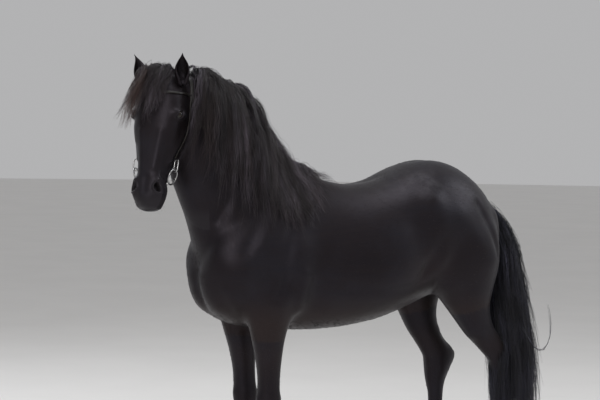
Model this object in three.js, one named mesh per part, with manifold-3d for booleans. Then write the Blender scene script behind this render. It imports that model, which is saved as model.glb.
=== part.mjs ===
// A life-size black Icelandic horse, standing still with its head raised and turned to its left,
// wearing a light show bridle. Millimetres, +Z up, +X to the horse's left, +Y towards its tail.
// The tables are written with y = 0 under the withers. The finished group is moved so that its
// origin lies on the floor, in the middle of the model's box.
import * as THREE from "three";
import { mergeVertices } from "three/addons/utils/BufferGeometryUtils.js";
import Module from "manifold-3d";

const wasm = await Module();
wasm.setup();

const { Manifold, Mesh: SolidMesh } = wasm;
const { cos, sin, PI, abs, sign, min, max, exp, hypot } = Math;
const radians = THREE.MathUtils.degToRad;
const lerp = THREE.MathUtils.lerp;
const V = (x, y, z) => new THREE.Vector3(x, y, z);

// Driving dimensions
const gap = 0.3; // kept between nodes that touch
const pollPlace = V(47, -617, 1739); // top of the head, between the ears
const headTurn = 42.4; // degrees to the left
const headNod = -17.4; // degrees, nose forward of the vertical
const eyeRadius = 19;
const soleLevel = 0;

// Trunk. Each station: y, top z, bottom z, half width, level of the widest point (share of the
// height), roundness of the upper half, roundness of the lower half.
const trunkStations = [
  [-414, 1080, 900, 60, 0.5, 2, 2],
  [-398, 1150, 846, 120, 0.5, 2.1, 2],
  [-355, 1210, 795, 168, 0.48, 2.1, 2.1],
  [-285, 1262, 757, 196, 0.46, 2.1, 2.1],
  [-190, 1312, 738, 214, 0.44, 2, 2.1],
  [-90, 1352, 728, 222, 0.42, 1.8, 2.1],
  [10, 1376, 722, 232, 0.42, 1.6, 2.1],
  [110, 1338, 722, 250, 0.43, 1.75, 2.1],
  [230, 1312, 732, 272, 0.44, 2.05, 2.1],
  [360, 1330, 755, 282, 0.45, 2.2, 2.1],
  [480, 1382, 792, 274, 0.48, 2.2, 2.1],
  [600, 1412, 838, 262, 0.5, 2.15, 2.1],
  [715, 1394, 868, 244, 0.48, 2.1, 2.1],
  [815, 1335, 878, 210, 0.46, 2.1, 2.1],
  [892, 1262, 915, 150, 0.45, 2, 2],
  [934, 1185, 985, 72, 0.45, 2, 2],
];

// Neck. Each station: crest x, y, z, throat x, y, z, half width, level of the widest point,
// roundness above, roundness below, turn in degrees.
const neckStations = [
  [0, 150, 1240, 0, -230, 880, 130, 0.45, 2, 2, 0],
  [0, 55, 1352, 0, -385, 950, 165, 0.42, 1.7, 2.1, 0],
  [0, -35, 1402, 0, -428, 1060, 145, 0.4, 1.6, 2.1, 0],
  [4, -130, 1468, 4, -472, 1185, 116, 0.4, 1.6, 2.1, 3],
  [12, -235, 1578, 10, -518, 1300, 104, 0.42, 1.6, 2.1, 8],
  [24, -345, 1682, 14, -544, 1392, 94, 0.45, 1.7, 2.1, 16],
  [33, -455, 1742, 14, -548, 1452, 82, 0.48, 1.9, 2.1, 25],
  [30, -566, 1724, 5, -535, 1488, 66, 0.5, 2, 2, 34],
];

// Head, in its own frame: origin at the poll, the face looking along -Y, the muzzle at -Z.
// Each station: z, y of the face line, y of the jaw line, half width, level of the widest point
// (share from jaw to face), roundness towards the face, roundness towards the jaw.
const headStations = [
  [22, 40, 92, 34, 0.5, 2, 2],
  [12, 16, 148, 66, 0.6, 2, 2],
  [-25, 2, 205, 86, 0.62, 2.1, 1.9],
  [-72, -8, 234, 99, 0.64, 2.3, 1.9],
  [-126, -11, 248, 106, 0.66, 2.4, 1.8],
  [-184, -9, 252, 105, 0.66, 2.5, 1.75],
  [-242, -3, 234, 92, 0.62, 2.5, 1.9],
  [-300, 3, 194, 75, 0.6, 2.4, 2],
  [-358, 8, 158, 63, 0.58, 2.3, 2.1],
  [-412, 10, 138, 58, 0.56, 2.2, 2.2],
  [-460, 13, 130, 60, 0.52, 2.2, 2.2],
  [-494, 22, 126, 55, 0.5, 2.2, 2.2],
  [-516, 40, 117, 43, 0.5, 2.1, 2.1],
  [-526, 60, 99, 24, 0.5, 2, 2],
];

// Forms that rise from or sink into the skin: two ends of a line, radius and height. Those with
// both = true are on both sides.
const headForms = [
  { from: [84, 44, -170], to: [88, 70, -190], r: 30, h: -9, both: true }, // eye socket
  { from: [82, 24, -150], to: [98, 52, -150], r: 17, h: 11, both: true }, // brow
  { from: [74, 52, -106], to: [80, 66, -118], r: 22, h: -9, both: true }, // hollow over the eye
  { from: [92, 92, -208], to: [66, 70, -322], r: 13, h: 7, both: true }, // cheek crest
  { from: [74, 150, -145], to: [70, 165, -208], r: 52, h: 11, both: true }, // cheek muscle
  { from: [42, 0, -228], to: [28, 12, -368], r: 14, h: 3, both: true }, // side of the nose bone
  { from: [58, 45, -282], to: [52, 50, -388], r: 20, h: -6, both: true }, // hollow by the nose
  { from: [50, 26, -418], to: [54, 44, -468], r: 20, h: 6, both: true }, // nostril wall
  { from: [0, 10, -412], to: [0, 16, -462], r: 15, h: -4 }, // between the nostrils
  { from: [0, 28, -506], to: [0, 34, -512], r: 26, h: 3 }, // upper lip
  { from: [56, 74, -436], to: [38, 62, -508], r: 11, h: 4, both: true }, // edge of the upper lip
  { from: [55, 100, -436], to: [38, 90, -506], r: 11, h: 4, both: true }, // edge of the lower lip
  { from: [0, 126, -456], to: [0, 122, -488], r: 24, h: 8 }, // chin
  { from: [0, 144, -412], to: [0, 144, -390], r: 22, h: -8 }, // chin groove
  { from: [0, 224, -232], to: [0, 174, -318], r: 24, h: -10 }, // hollow between the jaws
];
// Nostrils, mouth and eyes, left side, in the head's frame
const nostril = { place: V(54, 36, -446), along: V(0.1, 0.42, -0.9), half: V(7, 17, 15) };
const mouthLine = [V(57, 86, -414), V(60, 88, -444), V(52, 82, -478), V(30, 76, -508), V(0, 72, -524)];
const mouthWidth = 5;
const eye = { place: V(88, 40, -152), out: V(0.93, -0.35, 0.08), fissure: V(0, 0.57, 0.82) };
const lid = { thick: 3.6, halfLength: 17, halfHeight: 10 };

// Ears, in the head's frame: base and tip, with the side to which the cup opens
const ears = {
  left: { base: V(86, 42, -24), tip: V(98, -20, 80), open: V(0.5, -0.8, -0.2) },
  right: { base: V(-84, 42, -24), tip: V(-108, -14, 76), open: V(-0.5, -0.8, -0.2) },
};
// Along an ear: half width, half angle of the cup's wall in degrees, wall thickness
const earSections = [
  [23, 168, 7],
  [26, 158, 6],
  [29, 145, 5.5],
  [30, 128, 5],
  [28, 112, 4.5],
  [23, 98, 4],
  [15, 84, 3],
  [6, 70, 1.8],
];
const trunkForms = [
  { from: [120, -395, 1010], to: [185, -330, 960], r: 75, h: 16, both: true }, // point of shoulder
  { from: [60, -425, 930], to: [85, -380, 840], r: 62, h: 16, both: true }, // breast muscle
  { from: [0, -440, 960], to: [0, -400, 800], r: 26, h: -16 }, // breast groove
  { from: [190, -180, 1220], to: [215, -270, 1050], r: 62, h: 10, both: true }, // shoulder blade
  { from: [212, -90, 1050], to: [210, -130, 880], r: 78, h: 16, both: true }, // upper arm muscle
  { from: [228, 20, 1000], to: [222, 10, 860], r: 48, h: -10, both: true }, // behind the arm
  { from: [235, 520, 1250], to: [230, 545, 1180], r: 52, h: 12, both: true }, // hip
  { from: [268, 430, 1150], to: [262, 470, 1010], r: 66, h: -12, both: true }, // flank
  { from: [0, 120, 1340], to: [0, 380, 1330], r: 34, h: -5 }, // line of the back
  { from: [0, 560, 1420], to: [0, 800, 1380], r: 30, h: -7 }, // line of the croup
];

// Legs, left side. Each station: x, y of the front edge, y of the back edge, z of the front edge,
// z of the back edge, half width, roundness in front, roundness behind.
const foreStations = [
  [112, -292, -40, 1085, 1075, 68, 2, 2],
  [128, -300, -42, 985, 975, 84, 2, 2],
  [134, -290, -44, 890, 890, 82, 2, 2],
  [132, -268, -60, 805, 818, 74, 2, 2],
  [128, -245, -90, 720, 732, 62, 2, 2],
  [123, -222, -106, 640, 644, 51, 2.1, 2],
  [119, -208, -112, 560, 560, 43, 2.1, 2],
  [116, -206, -112, 500, 498, 41, 2.2, 2.2],
  [114, -208, -108, 452, 452, 44, 2.3, 2.3],
  [113, -200, -112, 408, 404, 38, 2.3, 2.3],
  [112, -184, -118, 360, 356, 27, 2.2, 2.1],
  [112, -180, -118, 300, 296, 25, 2.2, 2.1],
  [112, -186, -112, 246, 242, 29, 2.2, 2.1],
  [112, -194, -106, 206, 206, 34, 2.1, 2.1],
  [112, -206, -134, 168, 152, 29, 2.1, 2.1],
  [112, -228, -148, 124, 98, 34, 2.1, 2.1],
  [112, -246, -142, 88, 56, 43, 2.1, 2.1],
];
const hindStations = [
  [110, 520, 800, 1290, 1270, 80, 2, 2],
  [130, 480, 872, 1170, 1160, 108, 2, 2],
  [140, 470, 896, 1050, 1060, 112, 2, 2],
  [142, 490, 880, 950, 965, 106, 2, 2],
  [140, 566, 846, 868, 880, 92, 2, 2],
  [137, 632, 820, 780, 800, 74, 2, 2],
  [134, 694, 834, 692, 718, 57, 2, 2],
  [131, 758, 884, 622, 650, 45, 2.1, 1.9],
  [130, 800, 950, 570, 584, 40, 2.2, 1.8],
  [130, 812, 944, 520, 526, 42, 2.2, 1.9],
  [130, 822, 914, 460, 464, 36, 2.2, 2],
  [130, 834, 904, 405, 408, 28, 2.2, 2.1],
  [130, 836, 902, 330, 332, 26, 2.2, 2.1],
  [130, 828, 904, 262, 258, 30, 2.2, 2.1],
  [130, 822, 908, 218, 216, 35, 2.1, 2.1],
  [130, 808, 880, 176, 162, 30, 2.1, 2.1],
  [130, 790, 868, 126, 102, 35, 2.1, 2.1],
  [130, 772, 868, 88, 58, 43, 2.1, 2.1],
];
// Hoof: the edges at the sole and how far the half width grows towards it
const hoof = { toe: 34, heel: 14, flare: 8 };

const farForeShift = 12; // the right foreleg stands this much further back at the hoof
const farHindShift = -98; // the right hind leg is stepped under the body by this much
const nearHindShift = 72; // the left hind leg is set back by this much

// Hair. The mane grows from the crest between two stations of the neck, the forelock from the poll
// and the tail from its dock. The mane is one smooth form out to its tips, on each side of the neck;
// the widths and thicknesses of the locks are their largest.
const mane = {
  from: 1.45,
  to: 6.1,
  lengths: [230, 300, 420, 520, 560, 540, 420],
  rightShare: 0.5, // how much shorter it falls on the right
  paths: 15,
  steps: 7,
  clearance: 22,
  thick: 26,
  ridge: { radius: 24, rise: 6 }, // what fills the parting along the crest
};
const forelock = { count: 11, lengths: [190, 250], width: 36, thick: 5, clearance: 20, layer: 8 };
// Tail: centre x, y, z and half width, from the dock to the tips
const tailLine = [
  [0, 905, 1240, 32],
  [0, 962, 1172, 46],
  [4, 998, 1080, 56],
  [20, 1008, 1000, 62],
  [54, 1006, 826, 74],
  [114, 994, 620, 86],
  [172, 962, 406, 88],
  [188, 950, 280, 66],
  [192, 944, 165, 26],
];
const tail = { count: 18, width: 58, thick: 7, clearance: 12, lowest: 120 };

// Bridle, in the head's frame, left side; straps lie on the skin
const strap = { width: 13, thick: 3.5, clearance: 1.5 };
const crownLine = [V(101, 88, -50), V(96, 88, -22), V(64, 86, 10), V(0, 84, 24)];
const browLine = [V(101, 80, -57), V(100, 58, -60), V(90, 22, -68), V(50, -4, -74), V(0, -12, -75)];
const cheekLine = [V(100, 92, -64), V(104, 104, -150), V(96, 110, -220), V(84, 94, -311)];
const throatTop = V(104, 112, -58);
// The rest of the throatlatch, in the horse's frame: off the neck's middle, y, z
const throatLine = [
  V(80, -481, 1634),
  V(78, -477, 1576),
  V(78, -462, 1545),
  V(80, -433, 1530),
  V(82, -387, 1534),
  V(80, -345, 1566),
  V(80, -332, 1605),
];
const neckMiddle = 22;
const link = { place: V(84, 92, -340), normal: V(0.4, 0.92, 0), radius: 10, stretch: 14, wire: 2.6 };
const bitRing = { place: V(74, 95, -384), normal: V(0.95, 0, -0.3), radius: 32, wire: 3.2 };
const bitEnd = { from: V(67, 91, -408), to: V(54, 85, -418), radius: 6 };

// Planes that part the body: a point on the plane and its normal, which points to the first node.
const headNeckPlane = { point: V(0, 75, 0), normal: V(0, -0.626, -0.78) }; // in the head's frame
const neckTrunkPlane = { point: V(0, -170, 1210), normal: V(0, -0.62, 0.785) };
const forelegPlane = { point: V(0, -170, 700), normal: V(0, 0, -1) };
const hindlegPlane = { point: V(0, 560, 742), normal: V(0, 0.25, -1) };
const kneeLevel = 398;
const hockLevel = 452;

const sideCount = { trunk: 30, neck: 24, head: 30, leg: 14 };
const ringsPerSpan = { trunk: 1, neck: 2, head: 2, leg: 1 };

// Uniform Catmull-Rom through a row of numbers, with straight ends.
function spline(values, t) {
  const last = values.length - 1;
  const i = min(max(Math.floor(t), 0), last - 1);
  const u = t - i;
  const p1 = values[i];
  const p2 = values[i + 1];
  const p0 = i > 0 ? values[i - 1] : 2 * p1 - p2;
  const p3 = i + 2 <= last ? values[i + 2] : 2 * p2 - p1;
  const m1 = (p2 - p0) / 2;
  const m2 = (p3 - p1) / 2;
  return (
    p1 +
    u * m1 +
    u * u * (3 * (p2 - p1) - 2 * m1 - m2) +
    u * u * u * (2 * (p1 - p2) + m1 + m2)
  );
}

// Stations in one common form: front or top edge a, back or lower edge b, half width w, level of
// the widest point m, roundness na and nb, and turn.
const trunkRows = trunkStations.map(([y, top, low, w, m, na, nb]) => [0, y, top, 0, y, low, w, m, na, nb, 0]);
const headRows = headStations.map(([z, face, jaw, w, m, na, nb]) => [0, face, z, 0, jaw, z, w, m, na, nb, 0]);
const legRows = (stations) =>
  stations.map(([x, front, back, zf, zb, w, na, nb]) => [x, front, zf, x, back, zb, w, 0.5, na, nb, 0]);

function stationAt(rows, t) {
  const at = rows[0].map((_, k) => spline(rows.map((row) => row[k]), t));
  const a = V(at[0], at[1], at[2]);
  const b = V(at[3], at[4], at[5]);
  const turn = radians(at[10]);
  return { a, b, w: at[6], m: at[7], na: at[8], nb: at[9], side: V(cos(turn), sin(turn), 0) };
}

function sectionPoint(station, angle) {
  const { a, b, w, m, na, nb, side } = station;
  const across = cos(angle);
  const along = sin(angle);
  const n = along >= 0 ? na : nb;
  const reach = along >= 0 ? 1 - m : m;
  const depth = a.clone().sub(b);
  return b
    .clone()
    .addScaledVector(depth, m + sign(along) * abs(along) ** (2 / n) * reach)
    .addScaledVector(side, sign(across) * abs(across) ** (2 / n) * w);
}

// A closed skin through the stations, with a pole at each end.
function loft(rows, sides, perSpan) {
  const rings = (rows.length - 1) * perSpan + 1;
  const points = [];
  for (let r = 0; r < rings; r++) {
    const station = stationAt(rows, r / perSpan);
    for (let s = 0; s < sides; s++) points.push(sectionPoint(station, (2 * PI * (s + 0.5)) / sides));
  }
  const ends = [0, rings - 1].map((r) => {
    const station = stationAt(rows, r / perSpan);
    return station.b.clone().lerp(station.a, station.m);
  });
  return closedSkin(points, rings, sides, ends);
}

// Joins rings of points into a closed geometry whose faces point out.
function closedSkin(points, rings, sides, ends) {
  const index = [];
  for (let r = 0; r + 1 < rings; r++)
    for (let s = 0; s < sides; s++) {
      const p = r * sides + s;
      const q = r * sides + ((s + 1) % sides);
      index.push(p, p + sides, q, q, p + sides, q + sides);
    }
  const first = rings * sides;
  const last = first + 1;
  for (let s = 0; s < sides; s++) {
    const next = (s + 1) % sides;
    index.push(first, s, next);
    index.push(last, (rings - 1) * sides + next, (rings - 1) * sides + s);
  }
  const geometry = new THREE.BufferGeometry().setFromPoints([...points, ...ends]);
  geometry.setIndex(index);
  if (volumeOf(geometry) < 0) {
    for (let i = 0; i < index.length; i += 3) [index[i + 1], index[i + 2]] = [index[i + 2], index[i + 1]];
    geometry.setIndex(index);
  }
  geometry.computeVertexNormals();
  return geometry;
}

function volumeOf(geometry) {
  const position = geometry.getAttribute("position");
  const corner = (i) => new THREE.Vector3().fromBufferAttribute(position, i);
  const index = geometry.index.array;
  let six = 0;
  for (let i = 0; i < index.length; i += 3)
    six += corner(index[i]).dot(corner(index[i + 1]).cross(corner(index[i + 2])));
  return six / 6;
}

function distanceToLine(p, from, to) {
  const line = to.clone().sub(from);
  const t = min(1, max(0, p.clone().sub(from).dot(line) / line.lengthSq()));
  return p.distanceTo(from.clone().addScaledVector(line, t));
}

// The height of all forms at a point, from which the skin is moved along its normal.
function reliefAt(p, forms) {
  let height = 0;
  for (const { from, to, r, h, both } of forms)
    for (const side of both ? [1, -1] : [1]) {
      const d = distanceToLine(p, V(side * from[0], from[1], from[2]), V(side * to[0], to[1], to[2]));
      height += h * exp(-((d / r) ** 2));
    }
  return height;
}

function withRelief(geometry, forms) {
  const position = geometry.getAttribute("position");
  const normal = geometry.getAttribute("normal");
  for (let i = 0; i < position.count; i++) {
    const p = new THREE.Vector3().fromBufferAttribute(position, i);
    const n = new THREE.Vector3().fromBufferAttribute(normal, i);
    p.addScaledVector(n, reliefAt(p, forms));
    position.setXYZ(i, p.x, p.y, p.z);
  }
  geometry.computeVertexNormals();
  return geometry;
}

// The same skin moved out along its normals.
function grown(skin, distance) {
  const geometry = skin.clone();
  geometry.computeVertexNormals();
  const position = geometry.getAttribute("position");
  const normal = geometry.getAttribute("normal");
  for (let i = 0; i < position.count; i++)
    position.setXYZ(
      i,
      position.getX(i) + distance * normal.getX(i),
      position.getY(i) + distance * normal.getY(i),
      position.getZ(i) + distance * normal.getZ(i)
    );
  return geometry;
}

// Solids
function solidOf(geometry) {
  const bare = new THREE.BufferGeometry();
  bare.setAttribute("position", geometry.getAttribute("position"));
  bare.setIndex(geometry.index);
  const merged = mergeVertices(bare, 1e-3);
  return new Manifold(
    new SolidMesh({
      numProp: 3,
      vertProperties: new Float32Array(merged.getAttribute("position").array),
      triVerts: new Uint32Array(merged.index.array),
    })
  );
}

function geometryOf(solid) {
  const mesh = solid.getMesh();
  const geometry = new THREE.BufferGeometry();
  geometry.setAttribute("position", new THREE.BufferAttribute(new Float32Array(mesh.vertProperties), 3));
  geometry.setIndex(new THREE.BufferAttribute(new Uint32Array(mesh.triVerts), 1));
  return geometry;
}

const largest = (solid) =>
  solid.decompose().reduce((best, piece) => (piece.volume() > best.volume() ? piece : best));
const together = (solids) => solids.reduce((sum, solid) => sum.add(solid));

// A large box that fills the side of a plane to which the normal points, less a gap.
function halfSpace({ point, normal }, away = 0) {
  const size = 6000;
  const box = new THREE.BoxGeometry(size, size, size);
  box.translate(0, 0, size / 2 + away);
  const turn = new THREE.Quaternion().setFromUnitVectors(V(0, 0, 1), normal.clone().normalize());
  box.applyQuaternion(turn).translate(point.x, point.y, point.z);
  return solidOf(box);
}

const level = (z, up = 1) => ({ point: V(0, 0, z), normal: V(0, 0, up) });
const flipped = ({ point, normal }) => ({ point, normal: normal.clone().negate() });

// Materials
const finishes = {
  coat: new THREE.MeshStandardMaterial({ color: 0x0f0d0f, roughness: 0.5 }),
  hair: new THREE.MeshStandardMaterial({ color: 0x15131a, roughness: 0.45 }),
  horn: new THREE.MeshStandardMaterial({ color: 0x1f1b1a, roughness: 0.5 }),
  eye: new THREE.MeshStandardMaterial({ color: 0x120b08, roughness: 0.08 }),
  leather: new THREE.MeshStandardMaterial({ color: 0x16120f, roughness: 0.45 }),
  steel: new THREE.MeshStandardMaterial({ color: 0xc8c8c6, roughness: 0.22, metalness: 1 }),
};

const horse = new THREE.Group();

function addNode(name, geometry, finish, parent = horse) {
  const mesh = new THREE.Mesh(geometry, finishes[finish]);
  mesh.name = name;
  parent.add(mesh);
  return mesh;
}

// The head's own frame
const headPlace = new THREE.Group();
headPlace.position.copy(pollPlace);
headPlace.rotation.set(radians(headNod), 0, radians(headTurn), "ZXY");
headPlace.updateMatrix();
const headMatrix = headPlace.matrix;
const fromHead = (p) => p.clone().applyMatrix4(headMatrix);
const directionFromHead = (d) => d.clone().transformDirection(headMatrix);

// Legs. A shift fore or aft acts in full at the floor and not at all at the leg's top.
function legRowsOf(stations, side, shift, top) {
  return legRows(stations).map((row) => {
    const moved = [...row];
    moved[0] *= side;
    moved[3] *= side;
    moved[1] += shift * min(1, max(0, (top - row[2]) / 500));
    moved[4] += shift * min(1, max(0, (top - row[5]) / 500));
    return moved;
  });
}

const legs = {
  fore_left: { rows: legRowsOf(foreStations, 1, 0, 900), plane: forelegPlane, joint: kneeLevel },
  fore_right: { rows: legRowsOf(foreStations, -1, farForeShift, 900), plane: forelegPlane, joint: kneeLevel },
  hind_left: { rows: legRowsOf(hindStations, 1, nearHindShift, 1050), plane: hindlegPlane, joint: hockLevel },
  hind_right: { rows: legRowsOf(hindStations, -1, farHindShift, 1050), plane: hindlegPlane, joint: hockLevel },
};

// A hoof below the leg's last station: its toe slopes forward to a flat sole on the floor.
function hoofSkin(rows) {
  const coronet = rows[rows.length - 1];
  const top = [...coronet];
  top[2] -= gap;
  top[5] -= gap;
  const sole = [...top];
  sole[1] -= hoof.toe;
  sole[2] = soleLevel;
  sole[4] -= hoof.heel;
  sole[5] = soleLevel;
  sole[6] += hoof.flare;
  return loft([top, sole], sideCount.leg, 2);
}

// Skins
const skins = {
  trunk: withRelief(loft(trunkRows, sideCount.trunk, ringsPerSpan.trunk), trunkForms),
  neck: loft(neckStations, sideCount.neck, ringsPerSpan.neck),
  head: withRelief(loft(headRows, sideCount.head, ringsPerSpan.head), headForms).applyMatrix4(headMatrix),
};

// Where a ray from inside the body leaves the skin, moved out by a clearance, with the normal.
const probe = new THREE.Raycaster();
probe.far = 300;
const bodySkins = [skins.head, skins.neck].map(
  (geometry) => new THREE.Mesh(geometry, new THREE.MeshBasicMaterial({ side: THREE.DoubleSide }))
);
bodySkins.forEach((mesh) => mesh.updateMatrixWorld());
function onSkin(from, toward, clearance = 0) {
  probe.set(from, toward.clone().sub(from).normalize());
  const hits = probe.intersectObjects(bodySkins);
  const hit = hits[hits.length - 1];
  const normal = hit.face.normal.clone();
  return { point: hit.point.clone().addScaledVector(normal, clearance), normal };
}

// A closed tube of any section along points: sectionAt gives the ring's points at each.
function sweep(points, sectionAt) {
  const rings = points.map((point, i) => {
    const before = points[max(i - 1, 0)];
    const after = points[min(i + 1, points.length - 1)];
    return sectionAt(point, after.clone().sub(before).normalize(), i);
  });
  return closedSkin(rings.flat(), rings.length, rings[0].length, [points[0], points[points.length - 1]]);
}

function roundRing(centre, direction, radius, sides) {
  const first = V(0.31, 0.53, 0.79).cross(direction).normalize();
  const second = direction.clone().cross(first);
  return Array.from({ length: sides }, (_, k) => {
    const angle = (2 * PI * k) / sides;
    return centre
      .clone()
      .addScaledVector(first, radius * cos(angle))
      .addScaledVector(second, radius * sin(angle));
  });
}

// Points at even steps on a smooth line through a few
const smoothLine = (points, steps) => new THREE.CatmullRomCurve3(points).getPoints(steps);

// Head: nostrils, mouth, eye sockets and lids
const mirrored = (p, side) => V(side * p.x, p.y, p.z);

function ellipsoid(place, along, half) {
  const ball = new THREE.IcosahedronGeometry(1, 1);
  ball.scale(half.x, half.y, half.z);
  ball.applyQuaternion(new THREE.Quaternion().setFromUnitVectors(V(0, 1, 0), along.clone().normalize()));
  return ball.translate(place.x, place.y, place.z).applyMatrix4(headMatrix);
}

function bareMerged(geometry) {
  const bare = new THREE.BufferGeometry();
  bare.setAttribute("position", geometry.getAttribute("position"));
  if (geometry.index) bare.setIndex(geometry.index);
  return mergeVertices(bare, 1e-3);
}

const ballSolid = (place, radius) => {
  const ball = new THREE.IcosahedronGeometry(radius, 2).translate(place.x, place.y, place.z);
  return solidOf(bareMerged(ball).applyMatrix4(headMatrix));
};

function mouthCut() {
  const left = mouthLine.map((p) => onSkin(fromHead(V(0, p.y, p.z + 30)), fromHead(p)).point);
  const right = mouthLine
    .slice(0, -1)
    .reverse()
    .map((p) => onSkin(fromHead(V(0, p.y, p.z + 30)), fromHead(mirrored(p, -1))).point);
  const line = smoothLine([...left, ...right], 16);
  return solidOf(sweep(line, (point, direction) => roundRing(point, direction, mouthWidth, 5)));
}

// The almond-shaped opening between the lids: longer along the fissure than across it.
function lidOpening(side) {
  const out = mirrored(eye.out, side).normalize();
  const long = mirrored(eye.fissure, side);
  long.addScaledVector(out, -long.dot(out)).normalize();
  const across = out.clone().cross(long);
  const ball = new THREE.IcosahedronGeometry(1, 2);
  ball.applyMatrix4(
    new THREE.Matrix4().makeBasis(
      long.multiplyScalar(lid.halfLength),
      across.multiplyScalar(lid.halfHeight * side),
      out.clone().multiplyScalar(30 * side)
    )
  );
  const place = mirrored(eye.place, side).addScaledVector(out, 22);
  ball.translate(place.x, place.y, place.z).applyMatrix4(headMatrix);
  return solidOf(bareMerged(ball));
}

function headSolid() {
  let solid = solidOf(skins.head);
  for (const side of [1, -1]) {
    solid = solid.add(ballSolid(mirrored(eye.place, side), eyeRadius + gap + lid.thick));
    solid = solid.subtract(lidOpening(side));
    solid = solid.subtract(ballSolid(mirrored(eye.place, side), eyeRadius + gap));
    const hole = ellipsoid(mirrored(nostril.place, side), mirrored(nostril.along, side), nostril.half);
    solid = solid.subtract(solidOf(bareMerged(hole)));
  }
  return solid.subtract(mouthCut());
}

// Ears: a cup whose wall is an arc around the axis, open to the front, drawn to a point.
function earSkin({ base, tip, open }) {
  const axis = tip.clone().sub(base).normalize();
  const front = open.clone().addScaledVector(axis, -open.dot(axis)).normalize();
  const across = axis.clone().cross(front);
  const half = 5;
  const points = [];
  earSections.forEach(([radius, angle, wall], i) => {
    const t = i / earSections.length;
    const centre = base.clone().lerp(tip, t).addScaledVector(front, -7 * sin(PI * t));
    const at = (turn, r) =>
      centre
        .clone()
        .addScaledVector(front, -r * 0.8 * cos(turn))
        .addScaledVector(across, r * sin(turn));
    for (let k = 0; k <= half; k++) points.push(at(radians(lerp(-angle, angle, k / half)), radius));
    for (let k = half; k >= 0; k--) points.push(at(radians(lerp(-angle, angle, k / half)), radius - wall));
  });
  const ends = [base.clone().addScaledVector(axis, -14), tip.clone()];
  return closedSkin(points, earSections.length, 2 * half + 2, ends).applyMatrix4(headMatrix);
}

// Hair
function seeded(seed) {
  let state = seed;
  return (low = 0, high = 1) => {
    state = (Math.imul(state, 1664525) + 1013904223) >>> 0;
    return low + ((high - low) * state) / 4294967296;
  };
}

// The skin as points with normals, from which hair is kept clear
function samplesOf(geometries) {
  return geometries.flatMap((geometry) => {
    geometry.computeVertexNormals();
    const position = geometry.getAttribute("position");
    const normal = geometry.getAttribute("normal");
    return Array.from({ length: position.count }, (_, i) => ({
      place: new THREE.Vector3().fromBufferAttribute(position, i),
      normal: new THREE.Vector3().fromBufferAttribute(normal, i),
    }));
  });
}

// Moves a point out until it is clear of the nearest skin, and returns that skin's normal.
function keepClear(samples, point, clearance) {
  let best = samples[0];
  let least = Infinity;
  for (const sample of samples) {
    const distance = sample.place.distanceToSquared(point);
    if (distance < least) {
      least = distance;
      best = sample;
    }
  }
  const height = point.clone().sub(best.place).dot(best.normal);
  if (height < clearance) point.addScaledVector(best.normal, clearance - height);
  return best.normal.clone();
}

// A path of hair: it starts sunk in the skin, leaves along its first direction, is drawn towards
// another, and lies over the body at its own clearance.
function hairPath({ root, start, pull, weight, length, steps, clearance, samples }) {
  const direction = start.clone().normalize();
  const point = root.clone().addScaledVector(direction, -14);
  const path = [{ point: point.clone(), normal: keepClear(samples, root.clone(), 0) }];
  for (let i = 1; i <= steps; i++) {
    const share = (i / steps) ** 1.5 - ((i - 1) / steps) ** 1.5;
    point.addScaledVector(direction, length * share + (i === 1 ? 14 : 0));
    const normal = keepClear(samples, point, i === 1 ? clearance * 0.6 : clearance);
    direction
      .copy(point)
      .sub(path[i - 1].point)
      .normalize()
      .lerp(pull, weight)
      .normalize();
    path.push({ point: point.clone(), normal });
  }
  return path;
}

// A flat, tapered lock along a path: four-sided, its flat side to the skin, ending in a point.
// It is narrow at the root, and each section turns only part of the way from the one before it.
function lock(path, width, thick) {
  const last = path.length - 1;
  let before = null;
  const rings = path.slice(0, last).map(({ point, normal }, i) => {
    const direction = path[i + 1].point.clone().sub(path[max(i - 1, 0)].point).normalize();
    const across = direction.clone().cross(normal).normalize();
    if (before) {
      if (across.dot(before) < 0) across.negate();
      across.add(before);
      across.addScaledVector(direction, -across.dot(direction)).normalize();
    }
    before = across.clone();
    const out = across.clone().cross(direction);
    const t = i / last;
    const half = (width / 2) * min(1, 0.35 + 2.2 * t) * (1 - t ** 4);
    const deep = (thick / 2) * (1 - 0.55 * t);
    return [
      point.clone().addScaledVector(across, half),
      point.clone().addScaledVector(out, deep),
      point.clone().addScaledVector(across, -half),
      point.clone().addScaledVector(out, -deep),
    ];
  });
  const ends = [path[0].point, path[last].point];
  return solidOf(closedSkin(rings.flat(), rings.length, 4, ends));
}

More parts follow.
